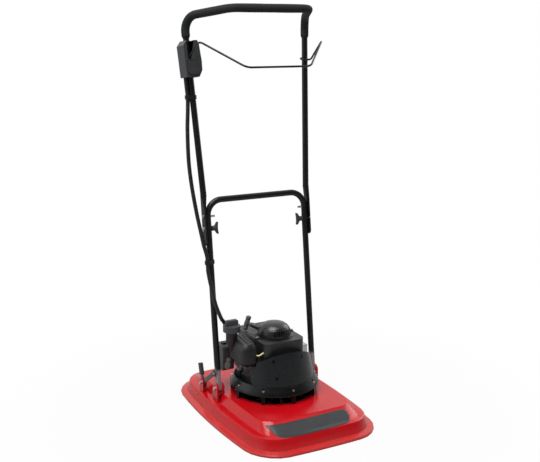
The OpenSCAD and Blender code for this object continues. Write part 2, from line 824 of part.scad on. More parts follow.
// Moves its children to the rope's line, along which they run as +Z
module on_rope(along) {
    translate(dome_at + [0, 0, rope_z]) rotate(rope_turn) rotate([0, 90 - rope_rise, 0])
        translate([0, 0, along]) children();
}
module dome_solid(extra) {
    rotate_extrude() polygon(concat([[0, 0]], dome_points(dome_r + extra, dome_h + extra)));
}
module recoil_cover() {
    color(charcoal) difference() {
        translate(dome_at) {
            rotate_extrude() polygon(concat(
                dome_points(dome_r, dome_h),
                [[0, dome_h - dome_t - pulley_rim]],
                reversed([for (p = dome_points(dome_r - dome_t, dome_h - dome_t)) if (p.x > 0) p])
            ));
            difference() {
                union() {
                    cylinder(h = dome_flange_h, r = dome_flange_r);
                    for (a = ear_angles) rotate(a) {
                        translate([dome_ear_reach, 0, 0]) cylinder(h = dome_flange_h, r = dome_ear_r);
                        translate([dome_r, -dome_ear_r, 0])
                            cube([dome_ear_reach - dome_r, 2 * dome_ear_r, dome_flange_h]);
                    }
                }
                translate([0, 0, -cut]) cylinder(h = dome_flange_h + 2 * cut, r = dome_r - dome_t);
                for (a = ear_angles) rotate(a) translate([dome_ear_reach, 0, -cut])
                    cylinder(h = dome_flange_h + 2 * cut, r = dome_screw_r + seat_clear);
            }
            translate([0, 0, pulley_z]) cylinder(h = dome_h - pulley_z - dome_t, r = pulley_pin_r);
        }
        translate(dome_at) for (i = [0:louvre_count - 1]) rotate(louvre_first + louvre_pitch * i)
            translate([dome_r / 2, -louvre_w / 2, louvre_low]) cube([dome_r, louvre_w, louvre_h]);
        on_rope(guide_root) cylinder(h = guide_end - guide_root, r = guide_bore);
    }
}
module recoil_screws() {
    color(steel) translate(dome_at) for (a = ear_angles) rotate(a) translate([dome_ear_reach, 0, 0]) {
        cylinder(h = dome_flange_h, r = dome_screw_r);
        translate([0, 0, dome_flange_h]) cylinder(h = dome_screw_head_h, r = dome_screw_head_r);
    }
}
module rope_guide() {
    color(charcoal) difference() {
        on_rope(guide_root) cylinder(h = guide_end - guide_root, r1 = guide_root_r, r2 = guide_end_r);
        on_rope(guide_root - cut) cylinder(h = guide_end - guide_root + 2 * cut, r = guide_bore);
        translate(dome_at) dome_solid(seat_clear);
    }
}
module recoil_pulley() {
    color(black) translate(dome_at + [0, 0, pulley_z]) rotate_extrude() polygon([
        [pulley_pin_r + run_clear, pulley_gap],
        [pulley_r, pulley_gap],
        [pulley_r, pulley_rim + pulley_gap],
        [pulley_neck_r, pulley_rim + pulley_gap],
        [pulley_neck_r, pulley_h - pulley_rim],
        [pulley_r, pulley_h - pulley_rim],
        [pulley_r, pulley_h],
        [pulley_pin_r + run_clear, pulley_h]
    ]);
}
module starter_rope() {
    from = pulley_neck_r + 2 * rope_r;
    color("#d8d6cc") on_rope(from) cylinder(h = guide_end - from, r = rope_r);
}
module starter_grip() {
    color(black) on_rope(guide_end) {
        cylinder(h = handle_stem_l + handle_bar_r, r1 = guide_end_r, r2 = handle_stem_r);
        translate([0, 0, handle_stem_l + handle_bar_r]) rotate(handle_tilt) rotate([0, 90, 0]) {
            cylinder(h = handle_bar_l - 2 * handle_bar_r, r = handle_bar_r, center = true);
            for (side = [-1, 1]) translate([0, 0, side * (handle_bar_l / 2 - handle_bar_r)])
                sphere(handle_bar_r);
        }
    }
}

// Fuel tank: moulded body lofted through rings, with its filler neck and cap
tank_x = -128;
tank_y = -18;
tank_z = 65;
tank_corner = 24;
tank_low_in = 12;
tank_low_h = 12;
tank_side_h = 46;
tank_shoulder_in = 6;
tank_shoulder_h = 18;
tank_top_in = 15;
tank_top_h = 9;
tank_slope = 0.1;
tank_top_corner = 14;
tank_rib_x = [-2, 13];
tank_rib_r = 4;
neck_at = [-159, 14];
neck_r = 21;
neck_foot_r = 4;
neck_h = 42;
cap_skirt = 16;
cap_h = 22;
cap_wing_w = 46;
cap_wing_t = 15;
cap_wing_h = 19;
cap_wing_round = 6;
tank_side_z = base_top + tank_z + tank_low_h + tank_side_h;
tank_top_z = tank_side_z + tank_shoulder_h + tank_top_h;
neck_top = tank_top_z + neck_h;

// Ring of the tank drawn in by inset; the slope lifts its rear end
function tank_ring(inset, corner, z, slope) = [
    for (p = rounded(tank_w - 2 * inset, tank_l - 2 * inset, corner))
        [tank_x + p.x, tank_y + p.y, z + slope * p.y]
];
module fuel_tank() {
    low = base_top + tank_z;
    color(charcoal) union() {
        ring_loft([
            tank_ring(tank_low_in, tank_top_corner, low, 0),
            tank_ring(0, tank_corner, low + tank_low_h, 0),
            tank_ring(0, tank_corner, tank_side_z, tank_slope / 2),
            tank_ring(tank_shoulder_in, tank_corner, tank_side_z + tank_shoulder_h, tank_slope),
            tank_ring(tank_top_in, tank_top_corner, tank_top_z, tank_slope)
        ]);
        translate([neck_at.x, neck_at.y, 0]) rotate_extrude() polygon([
            [0, tank_side_z - tank_side_h / 2],
            [neck_foot_r, tank_side_z - tank_side_h / 2],
            [neck_r, tank_side_z + tank_shoulder_h / 2],
            [neck_r, neck_top],
            [0, neck_top]
        ]);
        for (x = tank_rib_x) translate([tank_x + x, tank_y, tank_top_z - tank_rib_r / 2])
            rotate([90 + atan(tank_slope), 0, 0])
            cylinder(h = tank_l - 2 * tank_top_in - tank_corner, r = tank_rib_r, center = true);
    }
}
module fuel_cap() {
    color(black) translate([neck_at.x, neck_at.y, neck_top - cap_skirt]) {
        difference() {
            cylinder(h = cap_h, r = cap_r);
            translate([0, 0, -cut]) cylinder(h = cap_skirt + cut + side_clear, r = neck_r + side_clear);
        }
        translate([0, cap_wing_t / 2, cap_h + cap_wing_h / 2]) rotate([90, 0, 0])
            linear_extrude(cap_wing_t) polygon(rounded(cap_wing_w, cap_wing_h + cut, cap_wing_round));
    }
}
hose_d = 5;
hose_route = [
    [-105.9, -77.3, 247], [-104.7, -79.4, 247], [-103.5, -81.5, 247], [-100.4, -84.6, 248],
    [-96.4, -85.9, 249.4], [-92.4, -84.9, 250.8], [-88.6, -83, 251.7], [-84.9, -81.2, 252],
    [-82.6, -80.25, 252], [-80.3, -79.3, 252]
];
module fuel_hose() {
    color(hose_yellow) cord(hose_route, hose_d);
}

// Air cleaner, carburettor and choke on the left of the cylinder
cleaner_x = -172;
cleaner_y = 60;
cleaner_z = 10;
cleaner_size = [38, 70, 93];
cleaner_t = 2.5;
cleaner_corner = 10;
cleaner_plate = 5;
clip_size = [14, 20, 6];
carb_r = 17;
carb_bowl_r = 19;
carb_bowl_h = 26;
carb_z = 42;
carb_y = 105;
carb_flange = [6, 44, 44];
choke_at = [-152, 52];
choke_shaft_r = 3;
choke_t = 3;
choke_arm = 22;
choke_arm_w = 8;
choke_pad = [20, 26];
choke_lean = 12;
cleaner_low = base_top + cleaner_z;
carb_at = [cleaner_x + cleaner_size.x + cleaner_plate, carb_y, base_top + carb_z];
choke_pivot = [choke_at.x, cleaner_y, base_top + choke_at.y];
module cleaner_outline(inset) {
    translate([cleaner_y + cleaner_size.y / 2, cleaner_low + cleaner_size.z / 2])
        polygon(rounded(cleaner_size.y - 2 * inset, cleaner_size.z - 2 * inset, cleaner_corner - inset));
}
module air_cleaner_cover() {
    color(charcoal) difference() {
        plate_x(cleaner_x, cleaner_size.x) cleaner_outline(0);
        plate_x(cleaner_x + cleaner_t, cleaner_size.x) cleaner_outline(cleaner_t);
        translate(choke_pivot - [0, cut, 0]) rotate([-90, 0, 0])
            cylinder(h = cleaner_t + 2 * cut, r = choke_shaft_r + run_clear);
    }
}
module air_cleaner_base() {
    color(black) difference() {
        plate_x(cleaner_x + cleaner_size.x, cleaner_plate) cleaner_outline(0);
        rod_x(carb_at - [cleaner_plate + cut, 0, 0], cleaner_plate + 2 * cut, carb_r / 2);
    }
}
module air_cleaner_clip() {
    color(black) translate([
        cleaner_x + (cleaner_size.x - clip_size.x) / 2,
        cleaner_y + (cleaner_size.y - clip_size.y) / 2,
        cleaner_low + cleaner_size.z
    ]) cube(clip_size);
}
module carburettor() {
    reach = -fin_w / 2 - carb_at.x;
    color(steel) difference() {
        union() {
            rod_x(carb_at, reach, carb_r);
            translate(carb_at + [reach / 2, 0, -carb_r / 2 - carb_bowl_h])
                cylinder(h = carb_bowl_h, r = carb_bowl_r);
            for (x = [0, reach - carb_flange.x])
                translate(carb_at + [x, -carb_flange.y / 2, -carb_flange.z / 2]) cube(carb_flange);
        }
        rod_x(carb_at - [cut, 0, 0], reach + 2 * cut, carb_r / 2);
    }
}
module choke_lever() {
    color("#8d8f92") translate(choke_pivot) rotate([90, 0, 0]) {
        translate([0, 0, -cleaner_t]) cylinder(h = cleaner_t + side_clear + choke_t, r = choke_shaft_r);
        translate([0, 0, side_clear]) linear_extrude(choke_t) rotate(-choke_lean) {
            circle(choke_arm_w);
            translate([-choke_arm_w / 2, -choke_arm]) square([choke_arm_w, choke_arm]);
            translate([0, -choke_arm]) polygon(rounded(choke_pad.x, choke_pad.y, choke_arm_w));
        }
    }
}
bracket_at = [-112, 72];
bracket_z = 92;
bracket_t = 3;
bracket_w = 24;
cable_eye_r = 4;
module control_bracket() {
    top = base_top + bracket_z;
    foot = carb_at.z + carb_flange.z / 2;
    color(dark_steel) difference() {
        union() {
            translate([bracket_at.x - bracket_w / 2, bracket_at.y - bracket_w / 2, top])
                cube([bracket_w, carb_y - carb_r / 2 - bracket_at.y + bracket_w / 2, bracket_t]);
            translate([bracket_at.x - bracket_w / 2, carb_y - carb_r / 2 - bracket_t, foot])
                cube([bracket_w, bracket_t, top - foot + bracket_t]);
            translate([carb_at.x, carb_y - carb_flange.y / 2, foot])
                cube([bracket_at.x + bracket_w / 2 - carb_at.x, carb_flange.y / 2, bracket_t]);
        }
        translate([bracket_at.x, bracket_at.y, top - cut]) cylinder(h = bracket_t + 2 * cut, r = cable_eye_r);
    }
}

// Muffler and its guard on the right of the cylinder
muffler_x = 58;
muffler_y = 28;
muffler_z = 24;
muffler_size = [78, 76, 52];
muffler_corner = 16;
exhaust_r = 14;
exhaust_y = 96;
outlet_r = 9;
outlet_l = 16;
guard_t = 2;
guard_gap = 4;
guard_edge = 14;
guard_front = 34;
guard_slot = [7, 30];
guard_slots = 5;
muffler_low = base_top + muffler_z;
module muffler() {
    color(dark_steel) {
        translate([muffler_x + muffler_size.x / 2, muffler_y + muffler_size.y / 2, muffler_low])
            linear_extrude(muffler_size.z) polygon(rounded(muffler_size.x, muffler_size.y, muffler_corner));
        rod_x(
            [fin_w / 2, exhaust_y, cylinder_z],
            muffler_x - fin_w / 2 + muffler_corner, exhaust_r
        );
        translate([muffler_x + muffler_size.x / 2, muffler_y + muffler_size.y, muffler_low + 2 * outlet_r])
            rotate([90, 0, 0]) translate([0, 0, -outlet_l])
            cylinder(h = outlet_l + muffler_corner, r = outlet_r);
    }
}
module muffler_guard() {
    x = muffler_x + muffler_size.x;
    reach = muffler_size.x / 2;
    pitch = muffler_size.y / guard_slots;
    color(steel) difference() {
        union() {
            translate([x + guard_gap, muffler_y - guard_front, muffler_low])
                cube([guard_t, muffler_size.y + guard_front, muffler_size.z + guard_gap + guard_t]);
            translate([x - reach, muffler_y - guard_front, muffler_low + muffler_size.z + guard_gap])
                cube([reach + guard_gap + guard_t, muffler_size.y + guard_front, guard_t]);
            translate([x - guard_edge, muffler_y - guard_front, muffler_low])
                cube([guard_edge + guard_gap + cut, guard_t, muffler_size.z + guard_gap + cut]);
            for (y = [muffler_corner, muffler_size.y - muffler_corner]) translate([
                x, muffler_y + y - guard_t, muffler_low + muffler_size.z / 2
            ]) cube([guard_gap + cut, 2 * guard_t, guard_edge]);
        }
        for (i = [0:guard_slots - 1]) translate([
            x + guard_gap - cut, muffler_y + pitch * (i + 1 / 2) - guard_slot.x / 2, muffler_low + guard_edge
        ]) cube([guard_t + 2 * cut, guard_slot.x, guard_slot.y]);
    }
}

// Rotor: crankshaft, flywheel, lifting fan, spacer, blade and its bolt
blade_z = 18;
spacer_h = 12;
spacer_r = 32;
bolt_r = 5;
bolt_deep = 26;
washer_r = 20;
washer_t = 2.5;
hex_r = 11;
hex_h = 7;
blade_sail_l = 74;
blade_sail_w = 12;
blade_sail_rise = 10;
impeller_t = 3;
impeller_hub_r = 27;
impeller_hub_h = 28;
vane_t = 3;
vane_root = 44;
vane_h = 24;
vane_lean = 24;
flywheel_gap = 5;
flywheel_h = 16;
flywheel_r = 66;
fly_vane_h = 13;
fly_vane_root = 46;
impeller_z = blade_z + blade_t + spacer_h;
flywheel_z = blower_low + flywheel_gap;
shaft_top = flywheel_z + flywheel_h + fly_vane_h / 2;
module crankshaft() {
    color(steel) translate(engine_at) difference() {
        translate([0, 0, impeller_z]) cylinder(h = shaft_top - impeller_z, r = shaft_r);
        translate([0, 0, impeller_z - cut]) cylinder(h = bolt_deep + cut, r = bolt_r + seat_clear);
    }
}
module flywheel() {
    color(dark_steel) translate(engine_at + [0, 0, flywheel_z]) difference() {
        union() {
            cylinder(h = flywheel_h, r = flywheel_r);
            for (i = [0:vane_count - 1]) rotate(360 * i / vane_count)
                translate([fly_vane_root, -vane_t / 2, 0])
                cube([flywheel_r - fly_vane_root - vane_t / 2, vane_t, flywheel_h + fly_vane_h]);
        }
        translate([0, 0, -cut]) cylinder(h = flywheel_h + 2 * cut, r = shaft_r + seat_clear);
    }
}
module impeller() {
    color(black) translate(engine_at + [0, 0, impeller_z]) difference() {
        union() {
            cylinder(h = impeller_t, r = impeller_r);
            cylinder(h = impeller_hub_h, r = impeller_hub_r);
            for (i = [0:vane_count - 1]) rotate(360 * i / vane_count)
                translate([vane_root, 0, 0]) rotate(-vane_lean) translate([0, -vane_t / 2, 0])
                cube([impeller_r - vane_root - vane_t, vane_t, impeller_t + vane_h]);
        }
        translate([0, 0, -cut]) cylinder(h = impeller_hub_h + 2 * cut, r = shaft_r + seat_clear);
    }
}
module blade_spacer() {
    color(black) translate(engine_at + [0, 0, blade_z + blade_t]) linear_extrude(spacer_h)
        ring(spacer_r, bolt_r + seat_clear);
}
module blade() {
    color(dark_steel) translate(engine_at + [0, 0, blade_z]) difference() {
        union() {
            translate([-blade_l / 2, -blade_w / 2, 0]) cube([blade_l, blade_w, blade_t]);
            for (turn = [0, 180]) rotate(turn) translate([blade_l / 2 - blade_sail_l, blade_w / 2, 0])
                rotate([90, 0, 90]) linear_extrude(blade_sail_l) polygon([
                    [-blade_t, 0],
                    [0, 0],
                    [blade_sail_w, blade_sail_rise],
                    [blade_sail_w, blade_sail_rise + blade_t],
                    [0, blade_t],
                    [-blade_t, blade_t]
                ]);
        }
        translate([0, 0, -cut]) cylinder(h = blade_t + 2 * cut, r = bolt_r + seat_clear);
    }
}
module blade_bolt() {
    color(steel) translate(engine_at + [0, 0, blade_z]) {
        translate([0, 0, -washer_t]) cylinder(h = washer_t, r = washer_r);
        translate([0, 0, -washer_t - hex_h]) cylinder(h = hex_h, r = hex_r, $fn = 6);
        translate([0, 0, -washer_t])
            cylinder(h = washer_t + blade_t + spacer_h + bolt_deep - cut, r = bolt_r);
    }
}

// Handle frame of reference: x across, y to the rear and z along the tubes from the pivot bolts
module in_handle() {
    translate(pivot) rotate([-handle_lean, 0, 0]) children();
}
tube_r = tube_d / 2;
tube_in = tube_r - tube_wall;
slice = 0.1;
neck_l = 26;
crossbar_bend = 55;
knob_bolt_r = 3;
fold_pin_r = 4;
flat_gap = 0.3;
flat_t = 6;
flat_w = 30;
flat_end_s = 522;
flat_top_s = 650;
round_s = 700;
upright_bend = 55;
grip_bend = 45;
flare = 0.0502;
foam_end_s = 1246;
tube_sides = 24;
collar_l = 4;
collar_t = 0.4;
flat_x = handle_x + tube_r + flat_gap;
function upright_at(s) = upright_x - flare * (upright_s - s);
grip_s = upright_s + grip_rise;
left_points = [
    [-upright_at(round_s), 0, round_s],
    [-upright_x, 0, upright_s],
    [-grip_half, -grip_reach, grip_s]
];
left_run = unit(left_points[1] - left_points[0]);

module lower_tang(side) {
    translate([side * handle_x, 0, 0]) {
        translate([-tang_t / 2, 0, tang_l]) mirror([0, 0, 1])
            plate_x(0, tang_t) polygon(arch(tang_w, tang_l));
        hull() {
            translate([-tang_t / 2, -tang_w / 2, tang_l]) cube([tang_t, tang_w, slice]);
            translate([0, 0, tang_l + neck_l - slice]) cylinder(h = slice, r = tube_r, $fn = hull_fn);
        }
    }
}
module lower_handle() {
    left = [[-handle_x, 0, tang_l + neck_l], [-handle_x, 0, crossbar_s]];
    color(tube_black) in_handle() difference() {
        union() {
            tube_run(
                concat(left, reversed(flip_x(left))), [crossbar_bend, crossbar_bend], tube_r, tube_in
            );
            for (side = [-1, 1]) lower_tang(side);
        }
        rod_x([-deck_w / 2, 0, 0], deck_w, pivot_bolt_r + run_clear);
        rod_x([-deck_w / 2, 0, knob_s], deck_w, knob_bolt_r + seat_clear);
        rod_x([-deck_w / 2, 0, fold_s], deck_w, fold_pin_r + seat_clear);
        rod_x([-handle_x - tang_t / 2 - cut, 0, latch_pin_s], tang_t + 2 * cut, latch_pin_r + seat_clear);
    }
}
module latch_pin() {
    reach = handle_x + tang_t / 2 + latch_x - cut;
    color(steel) in_handle() rod_x([latch_x - cut, 0, latch_pin_s], tang_t - reach - cut, latch_pin_r);
}
knob_in = 24;
pin_in = 26;
pin_head_r = 6.5;
pin_head_h = 2.5;
bolt_dome_r = 8;
bolt_dome_h = 3.5;
module fold_pins() {
    color(steel) in_handle() for (side = [-1, 1]) mirror([side > 0 ? 1 : 0, 0, 0]) {
        head = flat_x + flat_t + pin_head_h;
        rod_x([-head, 0, fold_s], head - handle_x + pin_in, fold_pin_r);
        rod_x([-head - flat_gap, 0, fold_s], pin_head_h, pin_head_r);
    }
}
module knob_bolts() {
    color(steel) in_handle() for (side = [-1, 1]) mirror([side > 0 ? 1 : 0, 0, 0]) {
        seat = flat_x + flat_t + flat_gap;
        rod_x([-seat, 0, knob_s], seat - handle_x + knob_in, knob_bolt_r);
        rod_x([-seat - bolt_dome_h, 0, knob_s], bolt_dome_h, bolt_dome_r);
    }
}
knob_hub_r = 9;
knob_hub_l = 16;
knob_wing_t = 9;
knob_wing_l = 25.5;
knob_wing_h = 44;
// Outline of one wing from the hub to its tip and back, as shares of the knob's length and half its height
knob_wing_shares = [
    [0.16, 0.28], [0.4, 0.34], [0.55, 0.5], [0.75, 0.87], [0.86, 0.99],
    [0.96, 1], [1, 0.87], [0.94, 0.4], [0.92, 0]
];
module wing_knob(side) {
    from = -handle_x + tube_r + flat_gap;
    wing = [for (p = knob_wing_shares) [p.x * knob_wing_l, p.y * knob_wing_h / 2]];
    color(black) in_handle() mirror([side > 0 ? 1 : 0, 0, 0]) difference() {
        union() {
            rod_x([from, 0, knob_s], knob_hub_l, knob_hub_r);
            translate([from, knob_wing_t / 2, knob_s]) rotate([90, 0, 0]) linear_extrude(knob_wing_t)
                polygon(concat(wing, reversed([for (p = wing) if (p.y > 0) [p.x, -p.y]])));
        }
        rod_x([from - cut, 0, knob_s], knob_in - tube_r + cut + side_clear, knob_bolt_r + run_clear);
    }
}
module wing_knob_left() {
    wing_knob(-1);
}
module wing_knob_right() {
    wing_knob(1);
}

// Flattened end of an upper tube, hooked over the knob's bolt and turning on the fold pin
module upper_flat() {
    reach = fold_s - knob_s;
    slot = knob_bolt_r + side_clear;
    plate_x(-flat_x - flat_t, flat_t) difference() {
        union() {
            translate([0, flat_end_s + flat_w / 2]) circle(flat_w / 2);
            translate([-flat_w / 2, flat_end_s + flat_w / 2])
                square([flat_w, flat_top_s - flat_end_s - flat_w / 2]);
        }
        translate([0, fold_s]) circle(fold_pin_r + run_clear);
        translate([0, knob_s]) circle(slot);
        translate([0, fold_s]) intersection() {
            ring(reach + slot, reach - slot);
            translate([-flat_w, -2 * reach]) square([flat_w, 2 * reach]);
        }
    }
    hull() {
        translate([-flat_x - flat_t, -flat_w / 2, flat_top_s]) cube([flat_t, flat_w, slice]);
        place(left_points[0] + left_run * collar_l, side_of(left_run), left_run)
            cylinder(h = slice, r = tube_r + collar_t, $fn = hull_fn);
    }
}
module upper_handle() {
    pin_reach = upright_at(bail_s) - tube_r - cut;
    color(tube_black) in_handle() difference() {
        union() {
            swept_tube(
                concat(left_points, reversed(flip_x(left_points))),
                [upright_bend, grip_bend, grip_bend, upright_bend], tube_r, tube_in, tube_sides
            );
            for (side = [0, 1]) mirror([side, 0, 0]) upper_flat();
        }
        for (side = [-1, 1]) mirror([side > 0 ? 1 : 0, 0, 0])
            rod_x([-pin_reach - tube_r, 0, bail_s], tube_r, bail_d / 2 + run_clear);
    }
}
module foam_grip() {
    points = concat([[-upright_at(foam_end_s), 0, foam_end_s]], [left_points[1], left_points[2]]);
    color(black) in_handle() swept_tube(
        concat(points, reversed(flip_x(points))),
        [upright_bend, grip_bend, grip_bend, upright_bend], foam_d / 2, tube_r + seat_clear, tube_sides
    );
}

// Control box clamped round the left upright, with the slot that the bail swings in
box_shares = [
    [-0.78, 0], [0.64, 0], [1, 0.18], [1, 0.42], [0.78, 0.9], [0.6, 1], [-0.62, 1], [-1, 0.86]
];
box_low = 60;
box_front = 40;
box_back = 20;
box_t = 2.5;
// Slot for the bail: half width at its foot and reach each side at the top, set off from the box's centre
box_slot_x = 12;
box_slot_half = 6;
box_slot_right = 20;
box_slot_left = 9;
box_slot_low = 2;
box_slot_back = 14;
box_pad = [40, 46];
box_pad_t = 6;
box_pad_round = 12;
box_pad_up = 32;
box_screw_shares = [[-0.62, 0.13], [0.62, 0.56]];
box_screw_r = 2;
box_screw_head_r = 4;
box_x = -upright_at(bail_s);
box_from = bail_s - box_low;
cable_x = -upright_at(box_from) - tube_r - cable_d / 2 - seat_clear * 3;
function box_points(inset) = [
    for (p = box_shares) [box_x + (box_w / 2 - inset) * p.x, box_from + inset + (box_h - 2 * inset) * p.y]
];
// Solid of the box's outline between two depths in front of the split
module box_slab(inset, front, back) {
    translate([0, back, 0]) rotate([90, 0, 0]) linear_extrude(front + back) polygon(box_points(inset));
}
module box_bores() {
    place(left_points[0], side_of(left_run), left_run)
        cylinder(h = upright_s - round_s, r = tube_r + seat_clear);
    translate([cable_x, 0, box_from - cut]) cylinder(h = box_t + 2 * cut, r = cable_d / 2 + seat_clear);
}
module control_housing() {
    color(black) in_handle() difference() {
        union() {
            box_slab(0, box_front, 0);
            translate([box_x, -box_front, box_from + box_pad_up]) rotate([90, 0, 0])
                linear_extrude(box_pad_t) polygon(rounded(box_pad.x, box_pad.y, box_pad_round));
        }
        box_slab(box_t, box_front - box_t, cut);
        box_bores();
        translate([box_x - box_slot_x, -box_slot_back, bail_s]) rotate([90, 0, 0])
            linear_extrude(box_front + box_pad_t + cut - box_slot_back) polygon([
                [-box_slot_half, box_slot_low],
                [box_slot_half, box_slot_low],
                [box_slot_right, box_h - box_low + cut],
                [-box_slot_left, box_h - box_low + cut]
            ]);
    }
}
module control_cover() {
    color(black) in_handle() difference() {
        box_slab(0, 0, box_back);
        box_slab(box_t, cut, box_back - box_t);
        box_bores();
        at_box_screws() cylinder(h = box_t + 2 * cut, r = box_screw_r + seat_clear);
    }
}
module at_box_screws() {
    for (s = box_screw_shares) translate([box_x + s.x * box_w / 2, box_back + cut, box_from + s.y * box_h])
        rotate([90, 0, 0]) children();
}
module control_screws() {
    color(steel) in_handle() at_box_screws() {
        translate([0, 0, -cut]) cylinder(h = 2 * cut, r = box_screw_head_r);
        cylinder(h = cut + box_t, r = box_screw_r);
    }
}

// Bail: one wire with its ends pinned in the uprights, swung up to the grip bar to run the engine
bail_pin_in = 4;
bail_pin_out = 9;
bail_step = [-15.65, -6.64];
bail_out = 16;
bail_apex = [7.5, -114.9, 52];
bail_bar = [-226.2, -45.7];
bail_bends = [7, 7, 8, 22, 40];
module bail() {
    x = upright_at(bail_s);
    inner = x - tube_r - bail_pin_out;
    half = [
        [-x + tube_r - bail_pin_in, 0, 0],
        [-inner, 0, 0],
        [-inner, bail_step.x, bail_step.y],
        [-x - bail_out, bail_step.x, bail_step.y],
        [-x - bail_apex.x, bail_apex.y, bail_apex.z],
        [-bail_half, bail_bar.x, bail_bar.y]
    ];
    color(dark_steel) in_handle() translate([0, 0, bail_s])
        rod_run(concat(half, reversed(flip_x(half))), concat(bail_bends, reversed(bail_bends)), bail_d / 2);
}

// Control cable in its sleeve: down the left of the handle, clipped to both tubes, to the engine
clip_t = 3;
clip_clear = 0.55;
cable_gap = 0.3;
clip_h = 14;
clip_upper_s = 1045;
clip_lower_s = 463;
cable_end = [bracket_at.x, bracket_at.y, base_top + bracket_z + bracket_t + cable_gap];
upper_route = [
    [cable_x, 0, 1115], [-246, 0, 1080], [-244.2, 0, 1045], [-247, 0, 1000], [-253, 0, 932], [-256, 0, 829],
    [-251, 0, 741], [-240, -2, 644], [-228, -6, 561], [-223.2, -8.4, 526], [-216.8, -9.8, 498],
    [-213.8, -10, 481], [-213.8, -10, 472], [-213.8, -10, 463.2]
];
lower_route = [
    [-213.8, -10, 462.8], [-213.8, -10, 447], [-213.8, -10, 431], [-211, -13, 400],
    [-206, -19, 360], [-200, -28, 310]
];
engine_route = [
    [-186, 44, 362], [-174, 50, 346], [-158, 60, 322], [-140, 68, 298], [-124, 71.4, 276], [-114.6, 72, 260],
    [-112, 72, 247.6], [-112, 72, 242.4]
];
function to_world(p) = pivot + [
    p.x,
    p.y * cos(handle_lean) + p.z * sin(handle_lean),
    p.z * cos(handle_lean) - p.y * sin(handle_lean)
];
module cable_clip(tube_at, cable_at, s) {
    color(black) in_handle() translate([0, 0, s - clip_h / 2]) linear_extrude(clip_h) difference() {
        hull() {
            translate(tube_at) circle(tube_r + clip_t, $fn = hull_fn);
            translate(cable_at) circle(cable_d / 2 + clip_t, $fn = hull_fn);
        }
        translate(tube_at) circle(tube_r + clip_clear);
        translate(cable_at) circle(cable_d / 2 + clip_clear);
    }
}
module cable_clip_upper() {
    cable_clip([-upright_at(clip_upper_s), 0], [upper_route[2].x, upper_route[2].y], clip_upper_s);
}
module cable_clip_lower() {
    cable_clip([-handle_x, 0], [lower_route[0].x, lower_route[0].y], clip_lower_s);
}
module cable_upper() {
    color(black) cord([for (p = upper_route) to_world(p)], cable_d);
}
module cable_lower() {
    color(black) cord(concat([for (p = lower_route) to_world(p)], engine_route, [cable_end]), cable_d);
}

deck();
pivot_bracket_left();
pivot_bracket_right();
latch_bracket();
pivot_bolts();
latch_bolt();
engine_base();
base_bolts();
cowl();
cowl_screws();
crankcase();
cylinder_block();  // cylinder
cylinder_head();
spark_plug();
plug_boot();
ignition_lead();
blower_housing();
recoil_cover();
recoil_screws();
rope_guide();
recoil_pulley();
starter_rope();
starter_grip();
fuel_tank();
fuel_cap();
fuel_hose();
air_cleaner_base();
air_cleaner_cover();
air_cleaner_clip();
carburettor();
choke_lever();
muffler();
muffler_guard();
oil_cap();
control_bracket();
crankshaft();
flywheel();
impeller();
blade_spacer();
blade();
blade_bolt();
lower_handle();
latch_pin();
fold_pins();
knob_bolts();
wing_knob_left();
wing_knob_right();
latch_lever();
latch_grip();
cable_clip_lower();
upper_handle();
foam_grip();
control_housing();
control_cover();
control_screws();
cable_clip_upper();
bail();
cable_upper();
cable_lower();
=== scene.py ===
import json
import math
import bpy
import bmesh
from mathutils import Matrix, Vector
from mathutils.bvhtree import BVHTree


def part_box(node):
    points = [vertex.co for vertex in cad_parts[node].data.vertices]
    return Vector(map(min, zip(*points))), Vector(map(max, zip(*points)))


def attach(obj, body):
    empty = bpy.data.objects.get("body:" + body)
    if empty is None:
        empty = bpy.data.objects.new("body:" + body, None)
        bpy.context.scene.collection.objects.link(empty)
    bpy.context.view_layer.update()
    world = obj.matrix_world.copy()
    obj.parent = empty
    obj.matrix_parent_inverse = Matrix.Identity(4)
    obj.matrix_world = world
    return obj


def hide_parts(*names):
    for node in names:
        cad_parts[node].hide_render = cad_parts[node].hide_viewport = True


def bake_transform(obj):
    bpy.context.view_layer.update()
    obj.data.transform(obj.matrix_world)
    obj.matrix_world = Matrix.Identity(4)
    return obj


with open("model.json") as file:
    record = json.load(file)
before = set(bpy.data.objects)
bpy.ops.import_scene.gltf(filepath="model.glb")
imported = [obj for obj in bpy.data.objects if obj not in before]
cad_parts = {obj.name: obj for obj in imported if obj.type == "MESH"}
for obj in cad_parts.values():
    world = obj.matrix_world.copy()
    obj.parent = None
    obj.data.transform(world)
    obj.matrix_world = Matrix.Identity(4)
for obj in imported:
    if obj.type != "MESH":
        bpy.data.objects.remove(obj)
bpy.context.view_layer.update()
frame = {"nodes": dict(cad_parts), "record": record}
nodes = frame["nodes"]
scene = bpy.context.scene
mm = 0.001
print("frame loaded,", len(nodes), "solids")

# Camera at the viewing place of the picture: metres and radians, lens and sensor in millimetres
cameraSetup = {"place": (-1.4615, -2.7045, 1.3626), "yaw": 0.492, "pitchDown": 0.222,
               "lens": 59.39, "sensor": 36.0}
cameraData = bpy.data.cameras.new("studioCamera")
cameraData.lens = cameraSetup["lens"]
cameraData.sensor_width = cameraSetup["sensor"]
camera = bpy.data.objects.new("studioCamera", cameraData)
camera.location = cameraSetup["place"]
camera.rotation_euler = (math.pi / 2 - cameraSetup["pitchDown"], 0, -cameraSetup["yaw"])
scene.collection.objects.link(camera)
scene.camera = camera
scene.view_settings.view_transform = "Standard"


def hexColour(code):  # sRGB hex to linear RGBA
    parts = [int(code[i:i + 2], 16) / 255 for i in (1, 3, 5)]
    return [c / 12.92 if c <= 0.04045 else ((c + 0.055) / 1.055) ** 2.4 for c in parts] + [1.0]


